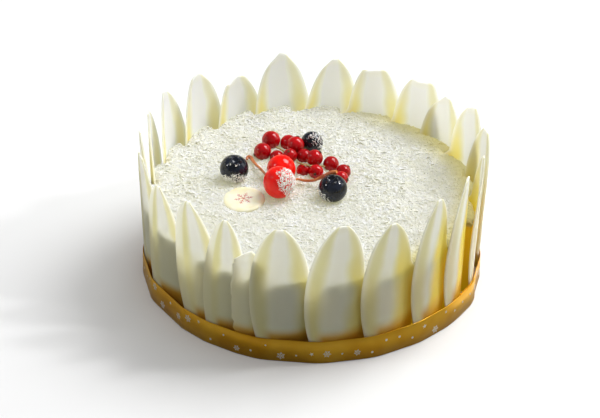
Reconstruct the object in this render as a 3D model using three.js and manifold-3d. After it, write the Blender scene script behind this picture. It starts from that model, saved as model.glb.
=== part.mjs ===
// White forest cake: a low round cake under white chocolate shavings, ringed by tall petals of
// white chocolate, tied with a gold paper band and topped with berries and cherries.
// Millimetres. The cake stands on z = 0, its axis is z, and its front faces -y. A turn is
// measured from the front in degrees, growing towards the right.
import * as THREE from 'three';
import { mergeVertices } from 'three/addons/utils/BufferGeometryUtils.js';
import Module from 'manifold-3d';

const wasm = await Module();
wasm.setup();

const RING_RADIUS = 99;
const CREAM_TOP = 53.4;
const CROWN_RISE = 1.4;
const BUMP_CELL = 7.6;
const BUMP_HEIGHT = 0.75;
const RIM_RISE = 0.9;

const PETAL_FOOT = 0.3;
const PETAL_HALF = 50;
const PETAL_LEAN_FROM = 15;
const PETAL_BEND = 72;
const PETAL_THICK = 1.9;
const PETAL_ROUND = 0.6;
const PETAL_TUCK = 2.5;
const TUCK_HIDDEN = 46;
const TUCK_SHOWN = 58;
const PETAL_ACROSS = 6;
const PETAL_UP = 8;
const BODY_GAP = 0.5;
const SPAN_ROOM = 1.1;
const FLAT = [0, 0, 0, 0, 0, 0, 0];

const BAND_FOOT = 0.3;
const BAND_TOP = 15.2;
const BAND_THICK = 0.4;
const BAND_GAP = 0.3;
const BAND_END = 73;
const BAND_LAP = 12;

const POCKET_GAP = 0.5;

// Each petal is the same mould's oval, pushed in to its own depth: its turn, the height of the
// oval's apex, the height where its tip ends, its width, its lean outwards, sideways tilt in
// degrees, inward slant, and the uneven edge of its tip (heights added from left to right).
const PETALS = [
  { turn: -78.5, apex: 91.6, top: 88, wide: 37, lean: 4.1, tilt: -5, slant: 0.21, chip: FLAT },
  { turn: -61.4, apex: 87.5, top: 86.5, wide: 32.2, lean: 2.7, tilt: -2.1, slant: 0.22, chip: FLAT },
  { turn: -42.2, apex: 92.7, top: 91.9, wide: 32, lean: 1.8, tilt: -6.2, slant: 0.18, chip: FLAT },
  { turn: -30.9, apex: 90, top: 89.1, wide: 26, lean: 1.4, tilt: 1.6, slant: 0.19, chip: FLAT },
  {
    turn: -20.2, apex: 92, top: 72, wide: 25, lean: 1, tilt: 0, slant: 0.2,
    chip: [-5, -2.6, -0.5, 0.9, -2.5, -4, -5],
  },
  { turn: -10.3, apex: 93.2, top: 91.3, wide: 36.2, lean: 1.3, tilt: -0.7, slant: 0.21, chip: FLAT },
  { turn: 8.5, apex: 96.2, top: 94.2, wide: 36.6, lean: 1.2, tilt: 3.5, slant: 0.13, chip: FLAT },
  { turn: 27.5, apex: 91.2, top: 90.2, wide: 36.4, lean: 1.2, tilt: 0.8, slant: 0.12, chip: FLAT },
  { turn: 45.6, apex: 95.2, top: 94, wide: 33, lean: 1.8, tilt: 3.1, slant: 0.12, chip: FLAT },
  { turn: 61.2, apex: 97, top: 94.6, wide: 34.4, lean: 3, tilt: 4.2, slant: 0.17, chip: FLAT },
  { turn: 77.6, apex: 94.8, top: 94, wide: 36.5, lean: 4.1, tilt: 1.5, slant: 0.22, chip: FLAT },
  { turn: 94.6, apex: 96.9, top: 94, wide: 37.5, lean: 4.6, tilt: 0, slant: 0.2, chip: FLAT },
  {
    turn: 108.2, apex: 97.1, top: 94.2, wide: 37.4, lean: 2.8, tilt: 2.6, slant: 0.18,
    chip: [1.1, 1.5, 1, 0.7, -0.4, -1.3, -1.9],
  },
  {
    turn: 127, apex: 86.5, top: 82.8, wide: 35.8, lean: 2, tilt: 0.6, slant: 0.2,
    chip: [-1, 1.2, 2.6, 3, 1, -1, -2.5],
  },
  {
    turn: 139.2, apex: 94.3, top: 86.4, wide: 36.7, lean: 1.8, tilt: -0.4, slant: 0.17,
    chip: [1.5, 1.3, 0.4, -0.5, -0.8, 0.5, -0.8],
  },
  {
    turn: 156.8, apex: 89.8, top: 83.4, wide: 36.4, lean: 1.8, tilt: 3.2, slant: 0.17,
    chip: [1.2, 1.3, 0.7, 0.3, -0.1, 0.4, 0.9],
  },
  {
    turn: 174, apex: 87.8, top: 86.2, wide: 34.6, lean: 1.8, tilt: -2.2, slant: 0.18,
    chip: [-0.5, 0.7, 0.7, 0.6, 0.8, -0.2, -1.5],
  },
  {
    turn: -168, apex: 93.5, top: 88.6, wide: 37.4, lean: 1.9, tilt: 1.3, slant: 0.22,
    chip: [-1.7, 1.4, 2.9, 3.2, 0.8, -1.2, -2.6],
  },
  {
    turn: -152.2, apex: 84.6, top: 78.9, wide: 37.8, lean: 2, tilt: 3.2, slant: 0.22,
    chip: [0.2, 0.8, 1.1, 0.2, -1, -1.4, -0.4],
  },
  {
    turn: -135.5, apex: 95.4, top: 91.2, wide: 38.6, lean: 2.1, tilt: 2.7, slant: 0.18,
    chip: [-2.6, -0.6, 0.9, 0.9, 1, 0.3, -0.4],
  },
  {
    turn: -118.8, apex: 97, top: 94.7, wide: 38.2, lean: 2.5, tilt: 5, slant: 0.15,
    chip: [-2.4, -0.6, 0, 0.8, 1.8, 1.8, 1],
  },
  { turn: -104.2, apex: 95.6, top: 94, wide: 37.6, lean: 3.4, tilt: 2.6, slant: 0.2, chip: FLAT },
  {
    turn: -91.5, apex: 94.4, top: 92.8, wide: 36, lean: 4.6, tilt: 0, slant: 0.18,
    chip: [-1.6, -1, -0.4, 0, 0, 0.2, 0.3],
  },
];

// Each fruit: the middle, the radius, and the way its crown or stem end faces.
const BLUEBERRIES = [
  { at: [-47, 12.4, 61.6], radius: 8.2, facing: [0.1, -0.35, 1] },
  { at: [11.9, -7.3, 61.6], radius: 8.2, facing: [-0.1, -0.25, 1] },
  { at: [-0.9, 46.9, 59.5], radius: 6.4, facing: [0.3, 1, 0.1] },
];
const CHERRIES = {
  front: { at: [-20, -6.1, 64.3], radius: 9.8, facing: [0.75, 0.62, -0.22] },
  back: { at: [-19, 13, 61.3], radius: 9.1, facing: [-1, -0.38, -0.12] },
};
const CURRANTS = [
  { at: [-25.7, 48.9, 59.3], radius: 5.4, facing: [0.6, 0.6, 0.3] },
  { at: [-30.6, 36.9, 58.5], radius: 5.1, facing: [-0.6, -0.2, -0.2] },
  { at: [-15.1, 48.9, 57.3], radius: 4.9, facing: [0.2, 1, 0.3] },
  { at: [-10.8, 40.4, 61.4], radius: 5.1, facing: [0.3, 0.5, 1] },
  { at: [-21.8, 32.4, 57.3], radius: 4.2, facing: [-0.5, -0.4, 0.2] },
  { at: [-14, 29.9, 60.4], radius: 4.2, facing: [-0.2, -0.4, 1] },
  { at: [-5.6, 32.5, 58.3], radius: 4.5, facing: [0.1, 0.6, 1] },
  { at: [0.8, 25.8, 61.6], radius: 4.9, facing: [0.7, 0.2, 0.8] },
  { at: [-5.7, 19.3, 56.6], radius: 4.2, facing: [-0.2, -0.9, -0.3] },
  { at: [1.8, 15, 58.7], radius: 4.3, facing: [-0.15, -1, 0.25] },
  { at: [10.7, 25.2, 58], radius: 4.6, facing: [0.3, 0.8, 0.4] },
  { at: [18.2, 17.9, 57.3], radius: 4.3, facing: [0.8, 0.5, 0.7] },
  { at: [16.8, 9, 58.1], radius: 4.3, facing: [0.9, -0.5, 0.2] },
];
const DISC = { at: [-39.8, -11.5, 56.1], radius: 13.5, thick: 2.6, facing: [-0.05, -0.06, 1] };

// Stems run along these places; each is [x, y, z, radius].
const BACK_STEM = [
  [-28.2, 8.8, 60, 0.85],
  [-31.1, 16.6, 58.7, 0.85],
  [-34.2, 23.3, 57.7, 0.85],
  [-36.3, 28.6, 57.2, 1],
  [-37.5, 31, 57.7, 1.15],
  [-39.3, 32, 57.7, 1],
  [-39.8, 30.2, 57, 0.8],
];
const FRONT_STEM = [
  [-11.5, 2, 61, 0.85],
  [-8.6, 6.2, 58.9, 0.8],
  [-4.7, 5.9, 58.1, 0.8],
  [0.1, 4.6, 59.2, 0.9],
  [4.2, 4, 61.4, 1.1],
  [7.8, 2.6, 64.2, 1.4],
  [11.3, 2, 66.4, 1.6],
  [14, 1, 68, 1.1],
];
const STALK = [
  [-22.6, 43.2, 57.8, 0.5],
  [-19.5, 41.3, 57.3, 0.5],
  [-16.5, 38.8, 56.9, 0.5],
  [-13.4, 33.8, 56.3, 0.5],
  [-10, 29, 56.6, 0.5],
  [-6.7, 18.2, 62, 0.5],
  [-2.5, 18.6, 60.6, 0.5],
  [1.7, 20.3, 59.7, 0.5],
  [4.7, 20.4, 59.4, 0.5],
  [7.1, 20.5, 58.9, 0.45],
];
const SHREDS = 36;

const seeded = (seed) => () => {
  seed = (seed + 0x6d2b79f5) | 0;
  let t = Math.imul(seed ^ (seed >>> 15), 1 | seed);
  t = (t + Math.imul(t ^ (t >>> 7), 61 | t)) ^ t;
  return ((t ^ (t >>> 14)) >>> 0) / 4294967296;
};
const radians = (degrees) => (degrees * Math.PI) / 180;
const polar = (radius, turn, z) => [radius * Math.sin(radians(turn)), -radius * Math.cos(radians(turn)), z];

function geometryOf(points, faces) {
  const geometry = new THREE.BufferGeometry();
  geometry.setAttribute('position', new THREE.Float32BufferAttribute(points.flat(), 3));
  geometry.setIndex(faces.flat());
  return geometry;
}

// A closed solid between two facing grids of points: front and back each give a point for (i, j).
function slab(across, up, front, back) {
  const points = [];
  const faces = [];
  const row = across + 1;
  const half = row * (up + 1);
  for (const side of [front, back]) {
    for (let j = 0; j <= up; j += 1) {
      for (let i = 0; i <= across; i += 1) points.push(side(i, j));
    }
  }
  const quad = (a, b, c, d) => faces.push([a, b, c], [a, c, d]);
  for (let j = 0; j < up; j += 1) {
    for (let i = 0; i < across; i += 1) {
      const a = j * row + i;
      quad(a, a + 1, a + 1 + row, a + row);
      quad(half + a + row, half + a + 1 + row, half + a + 1, half + a);
    }
    const left = j * row;
    const right = left + across;
    quad(left + row, half + left + row, half + left, left);
    quad(right, half + right, half + right + row, right + row);
  }
  for (let i = 0; i < across; i += 1) {
    const top = up * row + i;
    quad(i + 1, i, half + i, half + i + 1);
    quad(top, top + 1, half + top + 1, half + top);
  }
  return geometryOf(points, faces);
}

// A closed tube along [x, y, z, radius] places, with a flat cap at each end.
function stem(places, sides, steps, flatten) {
  const curve = new THREE.CatmullRomCurve3(places.map((p) => new THREE.Vector3(p[0], p[1], p[2])));
  const frames = curve.computeFrenetFrames(steps, false);
  const up = new THREE.Vector3(0, 0, 1);
  const points = [];
  const faces = [];
  for (let j = 0; j <= steps; j += 1) {
    const t = curve.getUtoTmapping(j / steps);
    const middle = curve.getPoint(t);
    const place = t * (places.length - 1);
    const k = Math.min(Math.floor(place), places.length - 2);
    const radius = THREE.MathUtils.lerp(places[k][3], places[k + 1][3], place - k);
    const side = new THREE.Vector3().crossVectors(frames.tangents[j], up).normalize();
    const over = new THREE.Vector3().crossVectors(frames.tangents[j], side);
    for (let i = 0; i < sides; i += 1) {
      const angle = (2 * Math.PI * i) / sides;
      const point = middle.clone();
      point.addScaledVector(side, radius * Math.cos(angle));
      point.addScaledVector(over, radius * flatten * Math.sin(angle));
      points.push(point.toArray());
    }
  }
  for (let j = 0; j < steps; j += 1) {
    for (let i = 0; i < sides; i += 1) {
      const a = j * sides + i;
      const b = j * sides + ((i + 1) % sides);
      faces.push([a, b, b + sides], [a, b + sides, a + sides]);
    }
  }
  for (const end of [0, steps]) {
    const middle = points.length;
    points.push(curve.getPoint(end === 0 ? 0 : 1).toArray());
    for (let i = 0; i < sides; i += 1) {
      const a = end * sides + i;
      const b = end * sides + ((i + 1) % sides);
      faces.push(end === 0 ? [middle, b, a] : [middle, a, b]);
    }
  }
  return geometryOf(points, faces);
}

// Turns a profile of [radius, height] pairs round its axis, then stands that axis along facing.
function turned(profile, segments, facing, at) {
  const outline = profile.map((p) => new THREE.Vector2(p[0], p[1]));
  const geometry = new THREE.LatheGeometry(outline, segments);
  const axis = new THREE.Vector3(...facing).normalize();
  geometry.applyQuaternion(new THREE.Quaternion().setFromUnitVectors(new THREE.Vector3(0, 1, 0), axis));
  geometry.translate(...at);
  geometry.deleteAttribute('uv');
  geometry.deleteAttribute('normal');
  return mergeVertices(geometry, 1e-4);
}

function arc(radius, squash, from, to, steps) {
  const profile = [];
  for (let i = 0; i <= steps; i += 1) {
    const angle = radians(from + ((to - from) * i) / steps);
    profile.push([Math.max(radius * Math.cos(angle), 0), radius * squash * Math.sin(angle)]);
  }
  return profile;
}

function blueberry(fruit) {
  const r = fruit.radius;
  const profile = arc(r, 0.94, -90, 66, 7);
  profile[0] = [0, -0.94 * r];
  profile.push([0.36 * r, 0.97 * r], [0.27 * r, 0.93 * r], [0.2 * r, 0.76 * r], [0, 0.72 * r]);
  return turned(profile, 12, fruit.facing, fruit.at);
}

function cherry(fruit) {
  const r = fruit.radius;
  const profile = arc(r, 0.95, -90, 62, 8);
  profile[0] = [0, -0.93 * r];
  profile.push([0.27 * r, 0.88 * r], [0.1 * r, 0.78 * r], [0, 0.76 * r]);
  return turned(profile, 15, fruit.facing, fruit.at);
}

function currant(fruit) {
  const r = fruit.radius;
  const profile = arc(r, 1, -90, 72, 5);
  profile[0] = [0, -r];
  profile.push([0, 1.07 * r]);
  return turned(profile, 9, fruit.facing, fruit.at);
}

function disc() {
  const { radius, thick, facing, at } = DISC;
  const profile = [
    [0, -thick / 2],
    [radius * 0.92, -thick / 2],
    [radius, -thick * 0.1],
    [radius * 0.95, thick * 0.3],
    [radius * 0.82, thick * 0.48],
    [0, thick * 0.5],
  ];
  return turned(profile, 24, facing, at);
}

// How far out a petal's outer face lies, a sideways distance x from its middle line.
function petalReach(leaf, x) {
  return RING_RADIUS - leaf.slant * x - (x * x) / (2 * PETAL_BEND);
}

function petalLean(leaf, z) {
  return (leaf.lean * Math.max(z - PETAL_LEAN_FROM, 0)) / (98 - PETAL_LEAN_FROM);
}

function petalHalfWidth(leaf, z) {
  const s = (z - (leaf.apex - PETAL_HALF)) / PETAL_HALF;
  return (leaf.wide / 2) * Math.pow(Math.max(1 - s * s, 0.0002), PETAL_ROUND);
}

function petalMiddle(leaf, z) {
  return Math.tan(radians(leaf.tilt)) * (z - leaf.apex + PETAL_HALF);
}

// The tucked side of a petal. Below the shavings it always reaches in behind the next petal.
function petalRight(leaf, z) {
  const next = PETALS[(PETALS.indexOf(leaf) + 1) % PETALS.length];
  const apart = radians((next.turn - leaf.turn + 360) % 360) * RING_RADIUS;
  const own = petalMiddle(leaf, z) + petalHalfWidth(leaf, z);
  const edge = apart + petalMiddle(next, z) - petalHalfWidth(next, z);
  const hidden = 1 - THREE.MathUtils.smoothstep(z, TUCK_HIDDEN, TUCK_SHOWN);
  return own + Math.max(edge + PETAL_TUCK - own, 0) * hidden;
}

function petalPoint(leaf, u, v, inner) {
  const level = PETAL_FOOT + (leaf.top - PETAL_FOOT) * (0.3 * v + 0.7 * Math.sin((Math.PI / 2) * v));
  const middle = petalMiddle(leaf, level);
  const half = u > 0 ? petalRight(leaf, level) - middle : petalHalfWidth(leaf, level);
  const x = u * half + middle;
  const place = ((u + 1) / 2) * (leaf.chip.length - 1);
  const k = Math.min(Math.floor(place), leaf.chip.length - 2);
  const added = THREE.MathUtils.lerp(leaf.chip[k], leaf.chip[k + 1], place - k);
  const z = level + added * Math.pow(Math.max((v - 0.5) * 2, 0), 2);
  const thick = PETAL_THICK * (1 - 0.52 * u * u * u * u) * (1 - 0.35 * v * v * v);
  const radius = petalReach(leaf, x) + petalLean(leaf, z) - (inner ? thick : 0);
  return polar(radius, leaf.turn + (x / RING_RADIUS) * (180 / Math.PI), z);
}

function petal(leaf) {
  const uv = (i, j) => [(2 * i) / PETAL_ACROSS - 1, j / PETAL_UP];
  return slab(
    PETAL_ACROSS,
    PETAL_UP,
    (i, j) => petalPoint(leaf, ...uv(i, j), false),
    (i, j) => petalPoint(leaf, ...uv(i, j), true),
  );
}

// The furthest a petal goes to each side of its middle line, up to a little over the shavings.
function petalSpan(leaf) {
  let [left, right] = [0, 0];
  for (let z = 0; z <= 60; z += 4) {
    left = Math.min(left, petalMiddle(leaf, z) - petalHalfWidth(leaf, z));
    right = Math.max(right, petalRight(leaf, z));
  }
  return [left, right];
}

// The inner face of the ring at a turn: the nearest petal that reaches it, less a small gap.
function innerReach(turn) {
  let reach = RING_RADIUS - BODY_GAP;
  for (const leaf of PETALS) {
    const away = ((turn - leaf.turn + 540) % 360) - 180;
    const x = radians(away) * RING_RADIUS;
    const [left, right] = petalSpan(leaf);
    const edge = Math.min(Math.max(x, left), right);
    if (x < left - SPAN_ROOM || x > right + SPAN_ROOM) continue;
    reach = Math.min(reach, petalReach(leaf, edge) - PETAL_THICK - BODY_GAP);
  }
  return reach;
}

function bodyOutline() {
  const turns = [];
  for (const leaf of PETALS) {
    const edge = ((petalSpan(leaf)[1] + SPAN_ROOM) / RING_RADIUS) * (180 / Math.PI);
    turns.push(leaf.turn + edge - 0.05, leaf.turn + edge + 0.05);
    turns.push(leaf.turn + edge * 0.3, leaf.turn + edge * 0.66);
  }
  const wrapped = turns.map((t) => ((t % 360) + 360) % 360).sort((a, b) => a - b);
  return wrapped.map((turn) => polar(innerReach(turn), turn, 0).slice(0, 2));
}

function toSolid(geometry) {
  const plain = geometry.clone();
  plain.deleteAttribute('normal');
  plain.deleteAttribute('uv');
  const merged = mergeVertices(plain, 1e-4);
  const mesh = new wasm.Mesh({
    numProp: 3,
    vertProperties: new Float32Array(merged.attributes.position.array),
    triVerts: new Uint32Array(merged.index.array),
  });
  return new wasm.Manifold(mesh);
}

function fromSolid(solid) {
  const mesh = solid.getMesh();
  const geometry = new THREE.BufferGeometry();
  const positions = [];
  for (let i = 0; i < mesh.numVert; i += 1) {
    for (let k = 0; k < 3; k += 1) positions.push(mesh.vertProperties[i * mesh.numProp + k]);
  }
  geometry.setAttribute('position', new THREE.Float32BufferAttribute(positions, 3));
  geometry.setIndex(Array.from(mesh.triVerts));
  return geometry;
}

const FRUITS = [...BLUEBERRIES, CHERRIES.front, CHERRIES.back, ...CURRANTS];

// The height of the shavings: a low crown, soft bumps, a rising rim and a bed under each fruit.
const hills = (() => {
  const random = seeded(11);
  return Array.from({ length: 26 }, () => ({
    x: (random() - 0.5) * 180,
    y: (random() - 0.5) * 180,
    rise: (random() - 0.5) * 1.6,
    wide: 9 + random() * 12,
  }));
})();

function creamHeight(x, y) {
  const out = Math.hypot(x, y);
  let z = CREAM_TOP + CROWN_RISE * (1 - (out / RING_RADIUS) ** 2);
  for (const hill of hills) {
    const away = (x - hill.x) ** 2 + (y - hill.y) ** 2;
    z += hill.rise * Math.exp(-away / hill.wide ** 2);
  }
  for (const fruit of FRUITS) {
    const under = fruit.at[2] - fruit.radius + 1 - z;
    const near = Math.exp(-((x - fruit.at[0]) ** 2 + (y - fruit.at[1]) ** 2) / 45);
    if (under > 0) z += Math.min(under, 1.5) * near;
  }
  return z + RIM_RISE * Math.max((out - 86) / 12, 0) ** 2;
}

function creamRelief() {
  const random = seeded(5);
  const cells = Math.ceil(206 / BUMP_CELL);
  const start = (-cells * BUMP_CELL) / 2;
  const bumps = [];
  for (let j = 0; j <= cells; j += 1) {
    for (let i = 0; i <= cells; i += 1) {
      const x = start + i * BUMP_CELL + (random() - 0.5) * 0.5 * BUMP_CELL;
      const y = start + j * BUMP_CELL + (random() - 0.5) * 0.5 * BUMP_CELL;
      bumps.push([x, y, creamHeight(x, y) + (random() - 0.5) * 2 * BUMP_HEIGHT]);
    }
  }
  const at = (i, j) => bumps[j * (cells + 1) + i];
  return slab(cells, cells, at, (i, j) => [at(i, j)[0], at(i, j)[1], -20]);
}

// A curled shaving: a short bowed strip lying half sunk in the bed.
function shred(x, y, long, wide, turn, curl) {
  const steps = 2;
  const along = [Math.cos(turn), Math.sin(turn)];
  const place = (i, j, deep) => {
    const s = (i / steps - 0.5) * long;
    const side = (j - 0.5) * wide * (i === 1 ? 1 : 0.6);
    const bow = curl * (1 - (2 * s / long) ** 2);
    const px = x + along[0] * s - along[1] * (side + bow);
    const py = y + along[1] * s + along[0] * (side + bow);
    return [px, py, creamHeight(x, y) + 0.5 + (i === 1 ? 0.7 : 0.2) - (deep ? 1.5 : 0)];
  };
  return slab(steps, 1, (i, j) => place(i, j, false), (i, j) => place(i, j, true));
}

function shreds() {
  const random = seeded(31);
  const solids = [];
  const golden = Math.PI * (3 - Math.sqrt(5));
  for (let n = 0; solids.length < SHREDS; n += 1) {
    const out = 84 * Math.sqrt((n + 0.5) / (SHREDS * 1.35));
    if (out > 86) break;
    const x = out * Math.cos(n * golden) + (random() - 0.5) * 6;
    const y = out * Math.sin(n * golden) + (random() - 0.5) * 6;
    const long = 5 + random() * 4.5;
    const turn = random() * Math.PI;
    const curl = (random() - 0.5) * 2.4;
    const wide = 1.3 + random() * 0.8;
    const free = FRUITS.every((f) => Math.hypot(x - f.at[0], y - f.at[1]) > f.radius + 6.5);
    const offDisc = Math.hypot(x - DISC.at[0], y - DISC.at[1]) > DISC.radius + 6.5;
    const offStem = [...BACK_STEM, ...FRONT_STEM, ...STALK].every((p) => Math.hypot(x - p[0], y - p[1]) > 7);
    if (free && offDisc && offStem) solids.push(toSolid(shred(x, y, long, wide, turn, curl)));
  }
  return solids;
}

function pocket(fruit) {
  const ball = wasm.Manifold.sphere(fruit.radius * 1.09 + POCKET_GAP, 12);
  return ball.translate(fruit.at);
}

function discPocket() {
  const axis = new THREE.Vector3(...DISC.facing).normalize();
  const turnTo = new THREE.Quaternion().setFromUnitVectors(new THREE.Vector3(0, 0, 1), axis);
  const height = 14;
  const drum = new THREE.CylinderGeometry(DISC.radius + 0.5, DISC.radius + 0.5, height, 24);
  drum.rotateX(Math.PI / 2);
  drum.translate(0, 0, height / 2 - DISC.thick / 2 - POCKET_GAP);
  drum.applyQuaternion(turnTo);
  drum.translate(...DISC.at);
  return toSolid(drum);
}

function cakeBody() {
  const prism = wasm.Manifold.extrude([bodyOutline()], 90);
  let body = toSolid(creamRelief()).intersect(prism);
  for (const solid of shreds()) body = body.add(solid);
  for (const fruit of FRUITS) body = body.subtract(pocket(fruit));
  body = body.subtract(discPocket());
  const room = STALK.map((p) => [p[0], p[1], p[2], p[3] + POCKET_GAP]);
  body = body.subtract(toSolid(stem(room, 5, 18, 1)));
  const pieces = body.simplify(0.07).decompose().sort((a, b) => b.volume() - a.volume());
  return fromSolid(pieces[0]);
}

// The taut outline round the petals' feet: the outermost corners only.
function feetOutline() {
  const points = [];
  for (const leaf of PETALS) {
    for (const v of [0, 0.02, 0.05, 0.09, 0.125, 0.14]) {
      for (let u = -1; u <= 1.001; u += 0.25) points.push(petalPoint(leaf, u, v, false));
    }
  }
  points.sort((a, b) => a[0] - b[0] || a[1] - b[1]);
  const cross = (o, a, b) => (a[0] - o[0]) * (b[1] - o[1]) - (a[1] - o[1]) * (b[0] - o[0]);
  const chain = (list) => {
    const hull = [];
    for (const p of list) {
      while (hull.length > 1 && cross(hull[hull.length - 2], hull[hull.length - 1], p) <= 1e-6) hull.pop();
      hull.push(p);
    }
    return hull.slice(0, -1);
  };
  return [...chain(points), ...chain([...points].reverse())];
}

// The band is one strip that starts under its own end, goes once round and laps over its start.
function goldBand() {
  const corners = feetOutline()
    .map((p) => ({ turn: (Math.atan2(p[0], -p[1]) * 180) / Math.PI, radius: Math.hypot(p[0], p[1]) }))
    .sort((a, b) => a.turn - b.turn);
  const spaced = [corners[0]];
  for (const corner of corners) {
    if (corner.turn - spaced[spaced.length - 1].turn > 1.6) spaced.push(corner);
  }
  const round = (by) => spaced.map((c) => ({ turn: c.turn + by, radius: c.radius }));
  const ring = [-360, 0, 360, 720].flatMap(round);
  const reach = (turn) => {
    const k = ring.findIndex((c) => c.turn > turn);
    const [a, b] = [ring[k - 1], ring[k]];
    const [p, q] = [polar(a.radius, a.turn, 0), polar(b.radius, b.turn, 0)];
    const way = polar(1, turn, 0);
    const top = p[0] * (q[1] - p[1]) - p[1] * (q[0] - p[0]);
    return top / (way[0] * (q[1] - p[1]) - way[1] * (q[0] - p[0]));
  };
  const first = BAND_END - BAND_LAP;
  const last = BAND_END + 360;
  const turns = ring.map((c) => c.turn).filter((t) => t > first + 0.5 && t < last - 0.5);
  turns.push(first, last - BAND_LAP - 7, last - BAND_LAP - 0.6, last);
  turns.sort((a, b) => a - b);
  const step = BAND_THICK + BAND_GAP + 0.05;
  const rise = (turn) => step * Math.min(Math.max((turn - (last - BAND_LAP - 7)) / 6.2, 0), 1);
  const at = (turn, j, out) => {
    const base = reach(turn) + BAND_GAP + rise(turn) + (out ? BAND_THICK : 0);
    return polar(base, turn, j ? BAND_TOP : BAND_FOOT);
  };
  return slab(turns.length - 1, 1, (i, j) => at(turns[i], j, true), (i, j) => at(turns[i], j, false));
}

const COLOURS = {
  cream: 0xf3f0e4,
  petal: 0xf1ecd2,
  gold: 0xc3922c,
  blueberry: 0x1a2033,
  cherry: 0xd91a12,
  currant: 0xa10d14,
  stem: 0xb4631f,
  stalk: 0x8f7f45,
  chocolate: 0xeee7cb,
};

const group = new THREE.Group();
group.name = 'white_forest_cake';

function add(name, geometry, colour) {
  geometry.computeVertexNormals();
  const mesh = new THREE.Mesh(geometry, new THREE.MeshStandardMaterial({ color: colour, name }));
  mesh.name = name;
  group.add(mesh);
}

const two = (n) => String(n).padStart(2, '0');
add('cake_body', cakeBody(), COLOURS.cream);
PETALS.forEach((leaf, n) => add(`petal_${two(n + 1)}`, petal(leaf), COLOURS.petal));
add('gold_band', goldBand(), COLOURS.gold);
BLUEBERRIES.forEach((fruit, n) => add(`blueberry_${n + 1}`, blueberry(fruit), COLOURS.blueberry));
add('cherry_front', cherry(CHERRIES.front), COLOURS.cherry);
add('cherry_back', cherry(CHERRIES.back), COLOURS.cherry);
CURRANTS.forEach((fruit, n) => add(`red_currant_${two(n + 1)}`, currant(fruit), COLOURS.currant));
add('white_chocolate_disc', disc(), COLOURS.chocolate);
add('cherry_stem_front', stem(FRONT_STEM, 6, 14, 0.7), COLOURS.stem);
add('cherry_stem_back', stem(BACK_STEM, 6, 13, 0.9), COLOURS.stem);
add('currant_stalk', stem(STALK, 5, 18, 1), COLOURS.stalk);

export default group;
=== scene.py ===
"""A white forest cake: a low round cake under white chocolate shavings, ringed by tall petals.

Everything is in metres. The cake stands on z = 0, its axis is z and its front faces -y. A turn is
measured from the front in degrees, growing towards the right. Sizes named in millimetres are
multiplied by MM where they are used.
"""
import logging
import math
from dataclasses import asdict, dataclass, replace
from enum import Enum
from typing import Callable, Dict, List, Optional, Sequence, Tuple, Union

import bmesh
import bpy
from mathutils import Matrix, Vector


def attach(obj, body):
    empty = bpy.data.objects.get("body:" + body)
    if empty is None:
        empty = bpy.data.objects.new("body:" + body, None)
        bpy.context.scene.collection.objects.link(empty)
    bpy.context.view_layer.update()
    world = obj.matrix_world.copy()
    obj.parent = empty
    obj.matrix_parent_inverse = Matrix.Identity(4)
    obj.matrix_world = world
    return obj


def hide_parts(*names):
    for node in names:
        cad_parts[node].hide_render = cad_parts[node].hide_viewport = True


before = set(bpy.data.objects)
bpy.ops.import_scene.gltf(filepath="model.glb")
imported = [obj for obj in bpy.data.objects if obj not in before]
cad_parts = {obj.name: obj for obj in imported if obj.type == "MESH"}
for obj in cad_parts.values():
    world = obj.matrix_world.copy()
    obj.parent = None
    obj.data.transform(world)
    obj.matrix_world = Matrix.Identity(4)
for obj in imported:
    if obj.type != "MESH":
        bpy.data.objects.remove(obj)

MM = 0.001
ROOT = "root"
UP = Vector((0.0, 0.0, 1.0))
BLACK = (0.0, 0.0, 0.0, 1.0)
WHITE = (1.0, 1.0, 1.0, 1.0)
log = logging.getLogger("cake")

Triple = Tuple[float, float, float]
Colour = Tuple[float, float, float, float]
Span = Tuple[float, float]
Tree = bpy.types.NodeTree
Node = bpy.types.Node
Socket = bpy.types.NodeSocket
Mesh = bpy.types.Mesh
Piece = bpy.types.Object
Material = bpy.types.Material


# Node trees


def maths(kind: str) -> Callable[..., "Value"]:
    """Makes a method of Value that adds one math node.

    Args:
        kind: the operation's name.

    Returns:
        The method, which takes the other operands.
    """

    def method(self: "Value", *others: "Feed") -> "Value":
        """Adds the math node on self and the others.

        Args:
            others: the other operands.

        Returns:
            Its result.
        """
        node = self.tree.nodes.new("ShaderNodeMath")
        node.operation = kind
        for socket, thing in zip(node.inputs, (self, *others)):
            feed(self.tree, socket, thing)
        return Value(self.tree, node.outputs[0])

    return method


class Value:
    """A number or a vector that runs through a node tree, so that formulas read plainly."""

    __add__ = maths("ADD")
    __sub__ = maths("SUBTRACT")
    __mul__ = maths("MULTIPLY")
    __truediv__ = maths("DIVIDE")
    power = maths("POWER")
    at_least = maths("MAXIMUM")
    above = maths("GREATER_THAN")
    size = maths("ABSOLUTE")
    sine = maths("SINE")
    cosine = maths("COSINE")
    tangent = maths("TANGENT")

    def __init__(self, tree: Tree, socket: Socket) -> None:
        """Keeps the tree and the socket that carries the value."""
        self.tree = tree
        self.socket = socket

    def ramp(self, start: "Feed", end: "Feed") -> "Value":
        """A smooth step from 0 at start to 1 at end.

        Args:
            start: where it begins.
            end: where it is done.

        Returns:
            The step.
        """
        feeds = {"Value": self, "From Min": start, "From Max": end}
        node = step(self.tree, "ShaderNodeMapRange", feeds, interpolation_type="SMOOTHSTEP")
        return Value(self.tree, node.outputs[0])

    def rest(self, share: float = 1.0) -> "Value":
        """What is left of 1 after a share of self."""
        return self * -share + 1

    def arch(self) -> "Value":
        """The square root of 1 less self, with nothing below 0."""
        return self.rest().at_least(0).power(0.5)


Feed = Union[Value, float, Triple, Colour, Socket, bpy.types.ID]


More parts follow.
